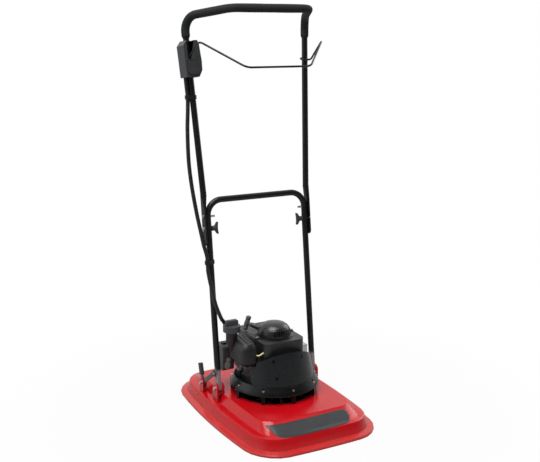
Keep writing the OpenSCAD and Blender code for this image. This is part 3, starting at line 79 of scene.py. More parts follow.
def addNode(tree, kind, settings=None, inputs=None):  # an input is a plain value or (node, output name)
    node = tree.nodes.new(kind)
    for key, value in (settings or {}).items():
        setattr(node, key, value)
    for key, value in (inputs or {}).items():
        if isinstance(value, tuple) and isinstance(value[0], bpy.types.Node):
            tree.links.new(value[0].outputs[value[1]], node.inputs[key])
        else:
            node.inputs[key].default_value = value
    return node


# Materials: what a user would change is in each look's dictionary, sizes in millimetres
# The second colour comes in blotches; grain is drawn coarser than the real skin's, which is too fine to show
# ripple is (length, depth), dust (top, colour, most), wear (width, colour, most)
looks = {
    # ABS deck moulded in a polished tool: deep red under a clear gloss, faint ripple, dust low on the skirt
    "red_shell": {
        "name": "glossRedAbs", "colour": "#BC0A15", "second": "#A80811", "blotch": 90, "mix": 0.4,
        "rough": (0.17, 0.28), "grain": 1.4, "height": 0.012, "ripple": (38, 0.05), "specular": 0.28,
        "coat": 0.05, "coatRough": 0.06, "dust": (34, "#C9776E", 0.16), "wear": (1.2, "#D65A58", 0.35)},
    # enamelled pressed steel of the brackets: the same red, thinner at the corners
    "red_enamel": {
        "name": "stovedRedEnamel", "colour": "#B30A15", "second": "#9C0811", "blotch": 18, "mix": 0.4,
        "rough": (0.2, 0.32), "grain": 2.2, "height": 0.02, "specular": 0.4,
        "coat": 0.1, "coatRough": 0.08, "wear": (0.8, "#D98A88", 0.5)},
    # glass-filled nylon with a spark-eroded grain: dull black that greys where light grazes it
    "black_plastic": {
        "name": "grainedBlackNylon", "colour": "#0D0E0F", "second": "#151617", "blotch": 26, "mix": 0.5,
        "rough": (0.38, 0.54), "grain": 1.3, "height": 0.03, "specular": 0.35, "wear": (0.7, "#3A3C3E", 0.4)},
    # the same nylon from a polished tool, for the cowl: near black, reflections stay soft-edged
    "cowl_gloss": {
        "name": "polishedBlackNylon", "colour": "#171A1C", "second": "#1E2224", "blotch": 48, "mix": 0.5,
        "rough": (0.23, 0.29), "grain": 1.2, "height": 0.006, "ripple": (70, 0.03), "specular": 0.32,
        "wear": (0.9, "#4A4F50", 0.45)},
    # the air ring, of the same nylon given a deeper black all over: painted shade for its outer wall, which
    # turns away from the light
    "ring_shaded_gloss": {
        "name": "shadedBlackNylon", "colour": "#0B0C0D", "second": "#121415", "blotch": 40, "mix": 0.5,
        "rough": (0.2, 0.32), "grain": 1.2, "height": 0.008, "ripple": (24, 0.03), "specular": 0.26,
        "wear": (1.1, "#565B5C", 0.55)},
    # moulded polypropylene covers of the engine: charcoal with a satin skin
    "charcoal_plastic": {
        "name": "satinCharcoalPolypropylene", "colour": "#1E1F1F", "second": "#272827", "blotch": 34,
        "mix": 0.5, "rough": (0.36, 0.52), "grain": 1.6, "height": 0.035, "wear": (0.8, "#434544", 0.4)},
    # stove-painted pressed dome: brown-black, silky
    "dome_paint": {
        "name": "silkyBrownBlackPaint", "colour": "#120F0E", "second": "#1C1715", "blotch": 30, "mix": 0.5,
        "rough": (0.25, 0.35), "grain": 1.5, "height": 0.008, "ripple": (30, 0.02),
        "wear": (0.7, "#4B4340", 0.4)},
    # blow-moulded polyethylene tank: dark grey, waxy, with shallow sink marks
    "tank_plastic": {
        "name": "waxyGreyPolyethylene", "colour": "#151417", "second": "#201F23", "blotch": 30, "mix": 0.55,
        "rough": (0.38, 0.52), "grain": 2.0, "height": 0.04, "ripple": (17, 0.14), "specular": 0.4},
    # thermoplastic rubber of the latch grip and the knobs: dark grey, matt, polished a little by hands
    "hand_rubber": {
        "name": "mattGreyElastomer", "colour": "#2A2C2D", "second": "#383A3B", "blotch": 12, "mix": 0.5,
        "rough": (0.5, 0.68), "grain": 0.9, "height": 0.05, "wear": (1.0, "#5A5C5D", 0.4)},
    # the starter's pull grip, the same rubber given a lighter grey: painted light for the side that the lamps
    # leave in shade
    "pull_rubber_painted_light": {
        "name": "paintedLightGreyElastomer", "colour": "#4C4E4E", "second": "#5A5C5C", "blotch": 9, "mix": 0.5,
        "rough": (0.42, 0.58), "grain": 0.9, "height": 0.04, "wear": (1.0, "#777979", 0.4)},
    # moulded filter cover and fuel cap: grey polypropylene with a faint eggshell skin
    "cleaner_plastic": {
        "name": "eggshellGreyPolypropylene", "colour": "#3A393E", "second": "#46454A", "blotch": 24,
        "mix": 0.5, "rough": (0.4, 0.54), "grain": 1.8, "height": 0.04, "specular": 0.4,
        "wear": (0.9, "#6A696E", 0.4)},
    # ABS control box: grey-black with a fine leather-like tool grain
    "box_plastic": {
        "name": "grainedGreyAbs", "colour": "#2E2F32", "second": "#393A3E", "blotch": 22, "mix": 0.5,
        "rough": (0.42, 0.56), "grain": 1.1, "height": 0.05, "wear": (0.9, "#505256", 0.4)},
    # powder coat on steel tube: satin black with a slight orange peel
    "tube_paint": {
        "name": "satinBlackPowderCoat", "colour": "#0E0F10", "second": "#151618", "blotch": 40, "mix": 0.4,
        "rough": (0.28, 0.4), "grain": 2.2, "height": 0.03, "specular": 0.32, "wear": (0.6, "#3E4042", 0.4)},
    # the same coat on the lower tube, with its pressed ends left in grey zinc: bare below, coated above
    "lower_tube": {
        "name": "powderCoatOverZinc", "colour": "#0E0F10", "second": "#151618", "blotch": 40, "mix": 0.4,
        "rough": (0.28, 0.4), "grain": 2.2, "height": 0.03, "specular": 0.32, "bare": (158, 172, "#8B8589")},
    # thick gloss coat on drawn wire
    "bail_paint": {
        "name": "glossBlackPowderCoat", "colour": "#0F1011", "second": "#16171A", "blotch": 30, "mix": 0.4,
        "rough": (0.2, 0.3), "grain": 2, "height": 0.02, "specular": 0.35},
    # zinc plate, bright chromate: pale metal with cloudy patches
    "steel": {
        "name": "zincPlatedSteel", "colour": "#C4C5C6", "second": "#96989A", "blotch": 7, "mix": 0.55,
        "metallic": 1.0, "rough": (0.26, 0.42), "grain": 0.9, "height": 0.02},
    # blackened screws, oiled: near black, darker than the cowl as painted shade of the holes they sit in,
    # with a small sharp glint
    "black_oxide_hole_shade": {
        "name": "oiledBlackOxideHoleShade", "colour": "#070707", "second": "#0E0D0C", "blotch": 3, "mix": 0.5,
        "metallic": 0.4, "rough": (0.2, 0.34), "grain": 0.7, "height": 0.02, "specular": 0.3},
    # painted pressed steel, rubbed by hands: dark grey with paler worn patches
    "dark_steel": {
        "name": "rubbedDarkPaint", "colour": "#3B3C3D", "second": "#57585A", "blotch": 14, "mix": 0.55,
        "metallic": 0.35, "rough": (0.36, 0.52), "grain": 1.5, "height": 0.03, "wear": (0.8, "#9A9B9C", 0.6)},
    # rolled and ground blade: long scratches over a dull sheen
    "blade_steel": {
        "name": "groundBladeSteel", "colour": "#8C8E90", "second": "#5F6163", "blotch": 5, "mix": 0.6,
        "metallic": 1.0, "rough": (0.3, 0.5), "grain": 0.8, "height": 0.03, "stretch": (0.04, 1, 1)},
    # die-cast alloy, tumbled: flat pale grey with a fine sandy skin
    "cast_alloy": {
        "name": "tumbledCastAlloy", "colour": "#8E9092", "second": "#6E7073", "blotch": 16, "mix": 0.5,
        "metallic": 0.9, "rough": (0.46, 0.64), "grain": 1.1, "height": 0.08},
    # cast crankcase painted black with the rest of the engine: dull, sandy
    "engine_paint": {
        "name": "dullBlackEnginePaint", "colour": "#18181A", "second": "#242426", "blotch": 16, "mix": 0.5,
        "rough": (0.46, 0.62), "grain": 1.1, "height": 0.08, "wear": (0.8, "#66686A", 0.45)},
    # closed-cell nitrile foam, extruded: black, matt, with tiny open pores at the skin
    "foam": {
        "name": "extrudedNitrileFoam", "colour": "#1B1D1D", "second": "#272929", "blotch": 3.2, "mix": 0.6,
        "rough": (0.8, 0.94), "grain": 1.6, "height": 0.22, "specular": 0.3},
    # extruded PVC of the cables and the plug's lead and boot: black, slightly waxy
    "cable_sleeve": {
        "name": "waxyBlackPvc", "colour": "#161719", "second": "#202123", "blotch": 18, "mix": 0.5,
        "rough": (0.36, 0.5), "grain": 2.4, "height": 0.04, "specular": 0.4},
    # fuel hose in tinted urethane: pale yellow, lets some light in
    "hose_yellow": {
        "name": "tintedFuelUrethane", "colour": "#E4DFA6", "second": "#D6CF88", "blotch": 12, "mix": 0.5,
        "rough": (0.22, 0.34), "grain": 3, "height": 0.02,
        "scatter": 0.25, "scatterRadius": (0.004, 0.003, 0.0015)},
    # laid nylon starter rope: off-white strands
    "rope": {
        "name": "laidNylonRope", "colour": "#D8D4C6", "second": "#9F9A8C", "blotch": 1.5, "mix": 0.7,
        "rough": (0.7, 0.85), "grain": 0.9, "height": 0.15},
    # acetal lever and oil cap: mid grey, smooth from the tool
    "grey_plastic": {
        "name": "greyAcetal", "colour": "#8F8886", "second": "#7B7573", "blotch": 10, "mix": 0.5,
        "rough": (0.3, 0.44), "grain": 1.2, "height": 0.02},
    # aluminised silencer sheet: warm grey, browned by heat
    "exhaust_steel": {
        "name": "heatTintedSteel", "colour": "#77736D", "second": "#4F463E", "blotch": 22, "mix": 0.7,
        "metallic": 0.9, "rough": (0.38, 0.6), "grain": 1.4, "height": 0.05},
    # cast vinyl film: dark grey, semi-gloss, dead flat
    "film": {
        "name": "greyVinylFilm", "colour": "#2B2E30", "second": "#34373A", "blotch": 30, "mix": 0.4,
        "rough": (0.3, 0.4), "specular": 0.3, "grain": 3, "height": 0.008},
}

# How every look reads its noises: their detail and roughness, and the span of each that is used
patternSetup = {"blotchDetail": 4.0, "blotchRough": 0.6, "grainDetail": 2.0, "grainRough": 0.5,
                "rippleDetail": 1.0, "tintFrom": 0.35, "tintTo": 0.68, "roughFrom": 0.3, "roughTo": 0.7,
                "dustGain": 2, "wearGain": 1.6, "wearFrom": 0.99, "wearTo": 0.85, "wearSamples": 4}


def makeMaterial(look, pattern):
    material = bpy.data.materials.new(look["name"])
    material.use_nodes = True
    tree = material.node_tree
    shader = tree.nodes["Principled BSDF"]
    place = (addNode(tree, "ShaderNodeTexCoord"), "Object")
    spread = place
    if "stretch" in look:
        drawn = addNode(tree, "ShaderNodeMapping", None, {"Vector": place, "Scale": look["stretch"]})
        spread = (drawn, "Vector")
    blotch = addNode(tree, "ShaderNodeTexNoise", None, {
        "Vector": spread, "Scale": 1 / (look["blotch"] * mm),
        "Detail": pattern["blotchDetail"], "Roughness": pattern["blotchRough"]})
    grain = addNode(tree, "ShaderNodeTexNoise", None, {
        "Vector": spread, "Scale": 1 / (look["grain"] * mm),
        "Detail": pattern["grainDetail"], "Roughness": pattern["grainRough"]})
    share = addNode(tree, "ShaderNodeMapRange", None, {
        "Value": (blotch, "Fac"), "From Min": pattern["tintFrom"], "From Max": pattern["tintTo"],
        "To Min": 0.0, "To Max": look["mix"]})
    layers = [((share, "Result"), look["second"])]  # each covers what lies under it by its share
    if "dust" in look:  # settles in patches, more of it lower down
        top, colour, most = look["dust"]
        height = addNode(tree, "ShaderNodeSeparateXYZ", None, {"Vector": place})
        low = addNode(tree, "ShaderNodeMapRange", None, {
            "Value": (height, "Z"), "From Min": top * mm, "From Max": 0.0,
            "To Min": 0.0, "To Max": most * pattern["dustGain"]})
        patch = addNode(tree, "ShaderNodeMath", {"operation": "MULTIPLY"},
                        {0: (low, "Result"), 1: (blotch, "Fac")})
        layers.append(((patch, "Value"), colour))
    if "wear" in look:  # paler where corners are rubbed, broken up by the blotches
        width, colour, most = look["wear"]
        corner = addNode(tree, "ShaderNodeBevel", {"samples": pattern["wearSamples"]}, {"Radius": width * mm})
        flat = addNode(tree, "ShaderNodeNewGeometry")
        facing = addNode(tree, "ShaderNodeVectorMath", {"operation": "DOT_PRODUCT"},
                         {0: (corner, "Normal"), 1: (flat, "Normal")})
        edge = addNode(tree, "ShaderNodeMapRange", None, {
            "Value": (facing, "Value"), "From Min": pattern["wearFrom"], "From Max": pattern["wearTo"],
            "To Min": 0.0, "To Max": most * pattern["wearGain"]})
        rubbed = addNode(tree, "ShaderNodeMath", {"operation": "MULTIPLY"},
                         {0: (edge, "Result"), 1: (blotch, "Fac")})
        layers.append(((rubbed, "Value"), colour))
    if "bare" in look:  # the coat stops short of the tube's ends
        bareBelow, coatAbove, colour = look["bare"]
        height = addNode(tree, "ShaderNodeSeparateXYZ", None, {"Vector": place})
        bare = addNode(tree, "ShaderNodeMapRange", {"interpolation_type": "SMOOTHSTEP"},
                       {"Value": (height, "Z"), "From Min": coatAbove * mm, "From Max": bareBelow * mm})
        layers.append(((bare, "Result"), colour))
    tint = hexColour(look["colour"])
    for cover, colour in layers:  # sockets of a colour mix: share 0, colours 6 and 7, result 2
        mixed = addNode(tree, "ShaderNodeMix", {"data_type": "RGBA"},
                        {0: cover, 6: tint, 7: hexColour(colour)})
        tint = (mixed, 2)
    tree.links.new(mixed.outputs[2], shader.inputs["Base Color"])
    smoothest, roughest = look["rough"]
    rough = addNode(tree, "ShaderNodeMapRange", None, {
        "Value": (blotch, "Fac"), "From Min": pattern["roughFrom"], "From Max": pattern["roughTo"],
        "To Min": smoothest, "To Max": roughest})
    tree.links.new(rough.outputs["Result"], shader.inputs["Roughness"])
    bump = addNode(tree, "ShaderNodeBump", None, {
        "Height": (grain, "Fac"), "Distance": look["height"] * mm, "Strength": 1.0})
    if "ripple" in look:  # slow unevenness left by cooling in the tool
        length, depth = look["ripple"]
        ripple = addNode(tree, "ShaderNodeTexNoise", None, {
            "Vector": spread, "Scale": 1 / (length * mm), "Detail": pattern["rippleDetail"]})
        bump = addNode(tree, "ShaderNodeBump", None, {
            "Height": (ripple, "Fac"), "Distance": depth * mm, "Strength": 1.0, "Normal": (bump, "Normal")})
    tree.links.new(bump.outputs["Normal"], shader.inputs["Normal"])
    shader.inputs["Metallic"].default_value = look.get("metallic", 0.0)
    shader.inputs["Specular IOR Level"].default_value = look.get("specular", 0.5)
    shader.inputs["Coat Weight"].default_value = look.get("coat", 0.0)
    shader.inputs["Coat Roughness"].default_value = look.get("coatRough", 0.03)
    if "scatter" in look:
        shader.inputs["Subsurface Weight"].default_value = look["scatter"]
        shader.inputs["Subsurface Radius"].default_value = look["scatterRadius"]
    return material


materials = {look: makeMaterial(settings, patternSetup) for look, settings in looks.items()}
print("materials made:", len(materials))

# Shading and edges of the solids: angles in degrees, distance in millimetres
dressSetup = {"smoothBelow": 32, "mergeWithin": 0.001, "flatWithin": 0.4, "roundAbove": 40, "roundSteps": 2}


def smoothGroup(setup):  # rounds the shading of faces that meet at less than the limit
    group = bpy.data.node_groups.new("smoothBelowAngle", "GeometryNodeTree")
    for way in ("INPUT", "OUTPUT"):
        group.interface.new_socket("Geometry", in_out=way, socket_type="NodeSocketGeometry")
    start = addNode(group, "NodeGroupInput")
    merged = addNode(group, "GeometryNodeMergeByDistance", None,
                     {"Geometry": (start, "Geometry"), "Distance": setup["mergeWithin"] * mm})
    smooth = addNode(group, "GeometryNodeSetShadeSmooth", {"domain": "FACE"},
                     {"Geometry": (merged, "Geometry")})
    angle = addNode(group, "GeometryNodeInputMeshEdgeAngle")
    sharp = addNode(group, "FunctionNodeCompare", {"data_type": "FLOAT", "operation": "GREATER_THAN"},
                    {"A": (angle, "Unsigned Angle"), "B": math.radians(setup["smoothBelow"])})
    edges = addNode(group, "GeometryNodeSetShadeSmooth", {"domain": "EDGE"},
                    {"Geometry": (smooth, "Geometry"), "Selection": (sharp, "Result"), "Shade Smooth": False})
    end = addNode(group, "NodeGroupOutput")
    group.links.new(edges.outputs["Geometry"], end.inputs["Geometry"])
    return group


smoothing = smoothGroup(dressSetup)

# Solids whose finish differs from their slot's usual one
finishes = {
    "pivot_bracket_left": "red_enamel", "pivot_bracket_right": "red_enamel", "latch_bracket": "red_enamel",
    "cowl": "cowl_gloss", "engine_base": "ring_shaded_gloss", "recoil_cover": "dome_paint",
    "fuel_tank": "tank_plastic", "air_cleaner_cover": "cleaner_plastic", "fuel_cap": "cleaner_plastic",
    "cowl_screws": "black_oxide_hole_shade", "latch_grip": "hand_rubber", "wing_knob_left": "hand_rubber",
    "wing_knob_right": "hand_rubber", "control_housing": "box_plastic", "control_cover": "box_plastic",
    "lower_handle": "lower_tube", "crankcase": "engine_paint", "oil_cap": "grey_plastic"}

# Moulded or pressed round of a solid's edges, in millimetres
edgeRounds = {
    "pivot_bracket_left": 0.8, "pivot_bracket_right": 0.8, "latch_bracket": 0.8, "cowl": 1.0,
    "blower_housing": 2.0, "engine_base": 1.0, "control_housing": 1.2, "control_cover": 1.2, "fuel_cap": 1.2,
    "latch_grip": 1.6, "latch_lever": 0.5, "wing_knob_left": 1.2, "wing_knob_right": 1.2,
    "air_cleaner_cover": 1.4, "oil_cap": 0.8, "choke_lever": 0.5, "muffler_guard": 0.5,
    "cable_clip_lower": 0.6, "cable_clip_upper": 0.6}


def addSmoothing(piece):
    modifier = piece.modifiers.new("smooth", "NODES")
    modifier.node_group = smoothing


def dressNode(name, look, setup):
    solid = nodes[name]
    solid.data.materials.clear()
    solid.data.materials.append(materials[look])
    normals = solid.data.attributes.get("custom_normal")
    if normals:
        solid.data.attributes.remove(normals)
    if name not in edgeRounds:
        addSmoothing(solid)
        return
    weld = solid.modifiers.new("weld", "WELD")
    weld.merge_threshold = setup["mergeWithin"] * mm
    flats = solid.modifiers.new("flats", "DECIMATE")  # whole flats, so that the rounds shade evenly
    flats.decimate_type = "DISSOLVE"
    flats.angle_limit = math.radians(setup["flatWithin"])
    rounds = solid.modifiers.new("edgeRound", "BEVEL")
    rounds.width = edgeRounds[name] * mm
    rounds.segments = setup["roundSteps"]
    rounds.limit_method = "ANGLE"
    rounds.angle_limit = math.radians(setup["roundAbove"])
    addSmoothing(solid)
    even = solid.modifiers.new("evenNormals", "WEIGHTED_NORMAL")
    even.keep_sharp = True


for part in frame["record"]["subparts"]:
    dressNode(part["node"], finishes.get(part["node"], part["material_slot"]), dressSetup)
print("solids dressed")

# The handle's own lines: across, to the rear and along the tubes from the pivot, as in the solids
handleLines = {"pivot": (0.0, 48.0, 97.0), "lean": 6.7}


def fromHandle(point):
    x, y, s = point
    px, py, pz = handleLines["pivot"]
    lean = math.radians(handleLines["lean"])
    c, d = math.cos(lean), math.sin(lean)
    return Vector((px + x, py + y * c + s * d, pz + s * c - y * d)) * mm


def smoothRoute(points, steps):  # a curve through all its points
    made = []
    last = len(points) - 1
    for i in range(last):
        a, b, c, d = points[max(i - 1, 0)], points[i], points[i + 1], points[min(i + 2, last)]
        for k in range(steps):
            t = k / steps
            made.append((2 * b + (c - a) * t + (2 * a - 5 * b + 4 * c - d) * t * t
                         + (3 * b - a - 3 * c + d) * t * t * t) / 2)
    return made + [points[last]]


def tubeRings(path, radius, sides):  # rings round a path without twist, radius by ring number and angle
    last = len(path) - 1
    tangents = [(path[min(i + 1, last)] - path[max(i - 1, 0)]).normalized() for i in range(len(path))]
    side = tangents[0].orthogonal().normalized()
    turns = [2 * math.pi * k / sides for k in range(sides)]
    rings = []
    for i, along in enumerate(tangents):
        side = (side - along * side.dot(along)).normalized()
        other = along.cross(side)
        rings.append([path[i] + radius(i, a) * (side * math.cos(a) + other * math.sin(a)) for a in turns])
    return rings


def ringMesh(name, rings, material, closedLoop=False):  # skins rings of equal count, with capped ends
    mesh = bpy.data.meshes.new(name)
    sides = len(rings[0])
    spans = len(rings) if closedLoop else len(rings) - 1
    faces = []
    for j in range(spans):
        a, b = j * sides, (j + 1) % len(rings) * sides
        faces += [(a + k, a + (k + 1) % sides, b + (k + 1) % sides, b + k) for k in range(sides)]
    if not closedLoop:
        faces += [tuple(reversed(range(sides))), tuple(range(len(rings) * sides - sides, len(rings) * sides))]
    mesh.from_pydata([v for ring in rings for v in ring], [], faces)
    mesh.polygons.foreach_set("use_smooth", [True] * len(mesh.polygons))
    piece = bpy.data.objects.new(name, mesh)
    piece.data.materials.append(material)
    scene.collection.objects.link(piece)
    addSmoothing(piece)
    return piece


def pathLength(path):
    return sum((b - a).length for a, b in zip(path, path[1:]))


# Cords: the control cable in two runs, the plug lead and the fuel hose
# In millimetres, with points on the handle's own lines first and then in the machine's frame
cords = {
    "controlCableUpper": {
        "node": "cable_upper", "diameter": 14, "sides": 16, "steps": 10,
        "slot": "cable_sleeve", "stiffness": "stiff", "lay": "hanging",
        "handle": [(-247.518, 0, 1115), (-246, 0, 1080), (-244.2, 0, 1045), (-247, 0, 1000), (-253, 0, 932),
                   (-256, 0, 829), (-251, 0, 741), (-240, -2, 644), (-228, -6, 561), (-223.2, -8.4, 526),
                   (-216.8, -9.8, 498), (-213.8, -10, 481), (-213.8, -10, 472), (-213.8, -10, 463.2)],
        "blend": ("upper", "lower", (-251, 0, 741), (-220, -9, 510))},
    "controlCableLower": {
        "node": "cable_lower", "diameter": 14, "sides": 16, "steps": 10,
        "slot": "cable_sleeve", "stiffness": "stiff", "lay": "hanging",
        "handle": [(-213.8, -10, 462.8), (-213.8, -10, 447), (-213.8, -10, 431), (-211, -13, 400),
                   (-206, -19, 360), (-200, -28, 310)],
        "machine": [(-186, 44, 362), (-174, 50, 346), (-158, 60, 322), (-140, 68, 298), (-124, 71.4, 276),
                    (-114.6, 72, 260), (-112, 72, 247.6), (-112, 72, 242.4), (-112, 72, 237.3)],
        "blend": ("lower", "machine", (-206, -19, 360), (-147, -150, 200))},
    "plugLead": {
        "node": "ignition_lead", "diameter": 7, "sides": 14, "steps": 10,
        "slot": "cable_sleeve", "stiffness": "stiff", "lay": "loose",
        "machine": [(0, 181.5, 200.3), (0, 181, 208), (4, 184, 224), (12, 178, 244), (20, 160, 258),
                    (24, 141, 262)]},
    "fuelHose": {
        "node": "fuel_hose", "diameter": 5, "sides": 14, "steps": 6,
        "slot": "hose_yellow", "stiffness": "limp", "lay": "loose",
        "machine": [(-105.9, -77.3, 247), (-104.7, -79.4, 247), (-103.5, -81.5, 247), (-100.4, -84.6, 248),
                    (-96.4, -85.9, 249.4), (-92.4, -84.9, 250.8), (-88.6, -83, 251.7), (-84.9, -81.2, 252),
                    (-82.6, -80.25, 252), (-80.3, -79.3, 252)]},
}


def makeCord(name, cord):
    points = [fromHandle(p) for p in cord.get("handle", [])]
    points += [Vector(p) * mm for p in cord.get("machine", [])]
    path = smoothRoute(points, cord["steps"])
    rings = tubeRings(path, lambda i, a: cord["diameter"] / 2 * mm, cord["sides"])
    piece = ringMesh(name, rings, materials[cord["slot"]])
    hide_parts(cord["node"])
    if "blend" in cord:
        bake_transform(piece)
    else:
        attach(piece, "machine")
    print(name, "length", round(pathLength(path), 3), "m")


for name, cord in cords.items():
    makeCord(name, cord)

# Starter rope: straight from the pulley through the guide to the grip
ropeSetup = {"axis": (0, -10, 286), "rise": 14, "turn": 128, "height": 3, "from": 39, "to": 95, "diameter": 4,
             "rings": 57, "sides": 24, "strands": 3, "pitch": 14, "groove": 0.14}
turn, rise = math.radians(ropeSetup["turn"]), math.radians(ropeSetup["rise"])
ropeLine = Vector((math.cos(turn) * math.cos(rise), math.sin(turn) * math.cos(rise), math.sin(rise)))
ropeStart = Vector(ropeSetup["axis"]) + Vector((0, 0, ropeSetup["height"]))


def alongRope(i):  # millimetres from the rope's first ring
    return (ropeSetup["to"] - ropeSetup["from"]) * i / (ropeSetup["rings"] - 1)


def strandRadius(i, a):  # strands laid round each other
    wave = abs(math.cos(ropeSetup["strands"] / 2 * (a - 2 * math.pi * alongRope(i) / ropeSetup["pitch"])))
    return ropeSetup["diameter"] / 2 * (1 - ropeSetup["groove"] * (1 - wave)) * mm


ropePath = [(ropeStart + ropeLine * (ropeSetup["from"] + alongRope(i))) * mm
            for i in range(ropeSetup["rings"])]
rope = ringMesh("starterRope", tubeRings(ropePath, strandRadius, ropeSetup["sides"]), materials["rope"])
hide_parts("starter_rope")
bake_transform(rope)
print("cords made")

# Pull grip: moulded bar with hollows for two fingers, on a waisted stem
pullSetup = {"from": 95, "tilt": 12, "half": 28, "wide": 11.4, "deepShare": 0.8, "corner": 2.6,
             "hollow": 1.2, "hollowAt": 12, "hollowReach": 6, "endRound": 6, "endLeast": 0.002,
             "stations": 41, "sides": 28,
             "stem": 17.5, "stemRadius": 7.9, "stemWaist": 2.2, "stemSteps": 12, "stemSides": 24}


def makePull(setup):
    tilt = math.radians(setup["tilt"])
    down = Vector((math.cos(turn) * math.sin(rise), math.sin(turn) * math.sin(rise), -math.cos(rise)))
    side = Vector((-math.sin(turn), math.cos(turn), 0))
    along = down * math.cos(tilt) + side * math.sin(tilt)
    across = along.cross(ropeLine)
    centre = ropeStart + ropeLine * (setup["from"] + setup["stem"])
    rings = []
    for i in range(setup["stations"]):
        t = setup["half"] * math.sin(math.pi * (i / (setup["stations"] - 1) - 0.5))
        over = max(abs(t) - setup["half"] + setup["endRound"], 0) / setup["endRound"]
        hollow = setup["hollow"] * math.exp(-((abs(t) - setup["hollowAt"]) / setup["hollowReach"]) ** 2)
        wide = (setup["wide"] - hollow) * math.sqrt(max(1 - over * over, setup["endLeast"]))
        ring = []
        for k in range(setup["sides"]):
            a = 2 * math.pi * k / setup["sides"]
            c, d = math.cos(a), math.sin(a)
            fit = (abs(c) ** setup["corner"] + abs(d) ** setup["corner"]) ** (-1 / setup["corner"])
            ring.append((centre + along * t + across * wide * fit * c
                         + ropeLine * wide * setup["deepShare"] * fit * d) * mm)
        rings.append(ring)
    bar = ringMesh("pullBar", rings, materials["pull_rubber_painted_light"])
    steps = setup["stemSteps"]
    spine = [(ropeStart + ropeLine * (setup["from"] + setup["stem"] * i / steps)) * mm
             for i in range(steps + 1)]

    def waisted(i, a):
        return (setup["stemRadius"] - setup["stemWaist"] * math.sin(math.pi * i / steps)) * mm

    stem = ringMesh("pullStem", tubeRings(spine, waisted, setup["stemSides"]), materials["pull_rubber_painted_light"])
    return bar, stem


pullBar, pullStem = makePull(pullSetup)
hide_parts("starter_grip")
for piece in (pullBar, pullStem):
    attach(piece, "starter")
print("pull grip made")


# Straight runs joined by true arcs of at least three steps, the right half mirrored from the left
def bentPath(half, bends, step, arcStep):
    corners = [Vector(c) for c in half] + [Vector((-x, y, s)) for x, y, s in reversed(half)]
    bends = bends + tuple(reversed(bends))
    path = [corners[0]]
    for i in range(1, len(corners) - 1):
        run = (corners[i] - corners[i - 1]).normalized()
        on = (corners[i + 1] - corners[i]).normalized()
        angle = run.angle(on)
        out = (run * on.dot(run) - on).normalized()
        bend = bends[i - 1]
        trim = bend * math.tan(angle / 2)
        centre = corners[i] - run * trim - out * bend
        begin = corners[i] - run * trim
        gap = (begin - path[-1]).length
        count = max(1, round(gap / step))
        path += [path[-1].lerp(begin, k / count) for k in range(1, count + 1)]
        count = max(3, round(bend * angle / arcStep))
        path += [centre + bend * (out * math.cos(angle * k / count) + run * math.sin(angle * k / count))
                 for k in range(1, count + 1)]
    count = max(1, round((corners[-1] - path[-1]).length / step))
    begin = path[-1]
    return path + [begin.lerp(corners[-1], k / count) for k in range(1, count + 1)]


# Foam grip: one extruded sleeve pushed round the bar, a little uneven along its length
gripSetup = {"corners": [(-235.835, 0, 1246), (-239.5, 0, 1319), (-149, -189, 1324)], "bends": (55, 45),
             "radius": 14.9, "bore": 11.15, "step": 3, "sides": 36,
             "endRound": 10, "endDrop": 3.1, "slack": 0.35, "waves": (23, 61)}


def makeGrip(setup):
    path = [fromHandle(p) for p in bentPath(setup["corners"], setup["bends"], setup["step"], setup["step"])]
    total = pathLength(path) / mm
    along = [0.0]
    for a, b in zip(path, path[1:]):
        along.append(along[-1] + (b - a).length / mm)
    shortWave, longWave = setup["waves"]

    def outer(i, a):  # rounded ends and a slow unevenness along the sleeve
        gap = min(along[i], total - along[i])
        nose = 1 - min(gap / setup["endRound"], 1)
        wave = setup["slack"] * (math.sin(along[i] / shortWave) + math.sin(along[i] / longWave + 1)) / 2
        return (setup["radius"] - setup["slack"] + wave * (1 - nose) - setup["endDrop"] * nose * nose) * mm

    rings = tubeRings(path, outer, setup["sides"])
    bore = tubeRings(path, lambda i, a: setup["bore"] * mm, setup["sides"])
    return ringMesh("foamSleeve", rings + list(reversed(bore)), materials["foam"], closedLoop=True)


grip = makeGrip(gripSetup)
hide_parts("foam_grip")
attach(grip, "upper")
print("foam sleeve made")

# Bail: one drawn wire bent cold, its sawn ends broken by a file
bailSetup = {"corners": [(-225.12, 0, 1172), (-212.12, 0, 1172), (-212.12, -15.65, 1165.36),
                         (-248.12, -15.65, 1165.36), (-239.62, -114.9, 1224), (-122, -226.2, 1126.3)],
             "bends": (7, 7, 8, 22, 40), "radius": 3.5, "step": 14, "arcStep": 1.2, "filed": 0.7, "sides": 24}


def makeBail(setup):
    line = bentPath(setup["corners"], setup["bends"], setup["step"], setup["arcStep"])
    path = [fromHandle(p) for p in line]
    nib = setup["filed"] * mm
    first, last = (path[1] - path[0]).normalized() * nib, (path[-2] - path[-1]).normalized() * nib
    path = [path[0], path[0] + first] + path[1:-1] + [path[-1] + last, path[-1]]
    ends = (0, len(path) - 1)

    def filed(i, a):
        return (setup["radius"] - (setup["filed"] if i in ends else 0)) * mm

    return ringMesh("bailWire", tubeRings(path, filed, setup["sides"]), materials["bail_paint"])


bail = makeBail(bailSetup)
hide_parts("bail")
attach(bail, "bail_wire")
print("bail bent")

# Plain film on the front of the deck, laid on the moulding: x and y of its outline from the left, in mm
filmSetup = {"top": [(-170, -258), (-158, -268), (-144, -272), (-106, -276.5), (-14, -276.8), (119, -273),
                     (130, -274), (138, -279), (141, -286), (137, -304)],
             "low": [(-170, -258.2), (-165, -277), (-159, -300), (-152, -317), (-140, -334), (-100, -339.5),
                     (-52, -341), (4, -341), (63, -338.5), (105, -336), (116, -333), (124, -326)],
             "across": 64, "down": 14, "above": 200, "lift": 0.35, "thick": 0.2, "joinWithin": 0.01}


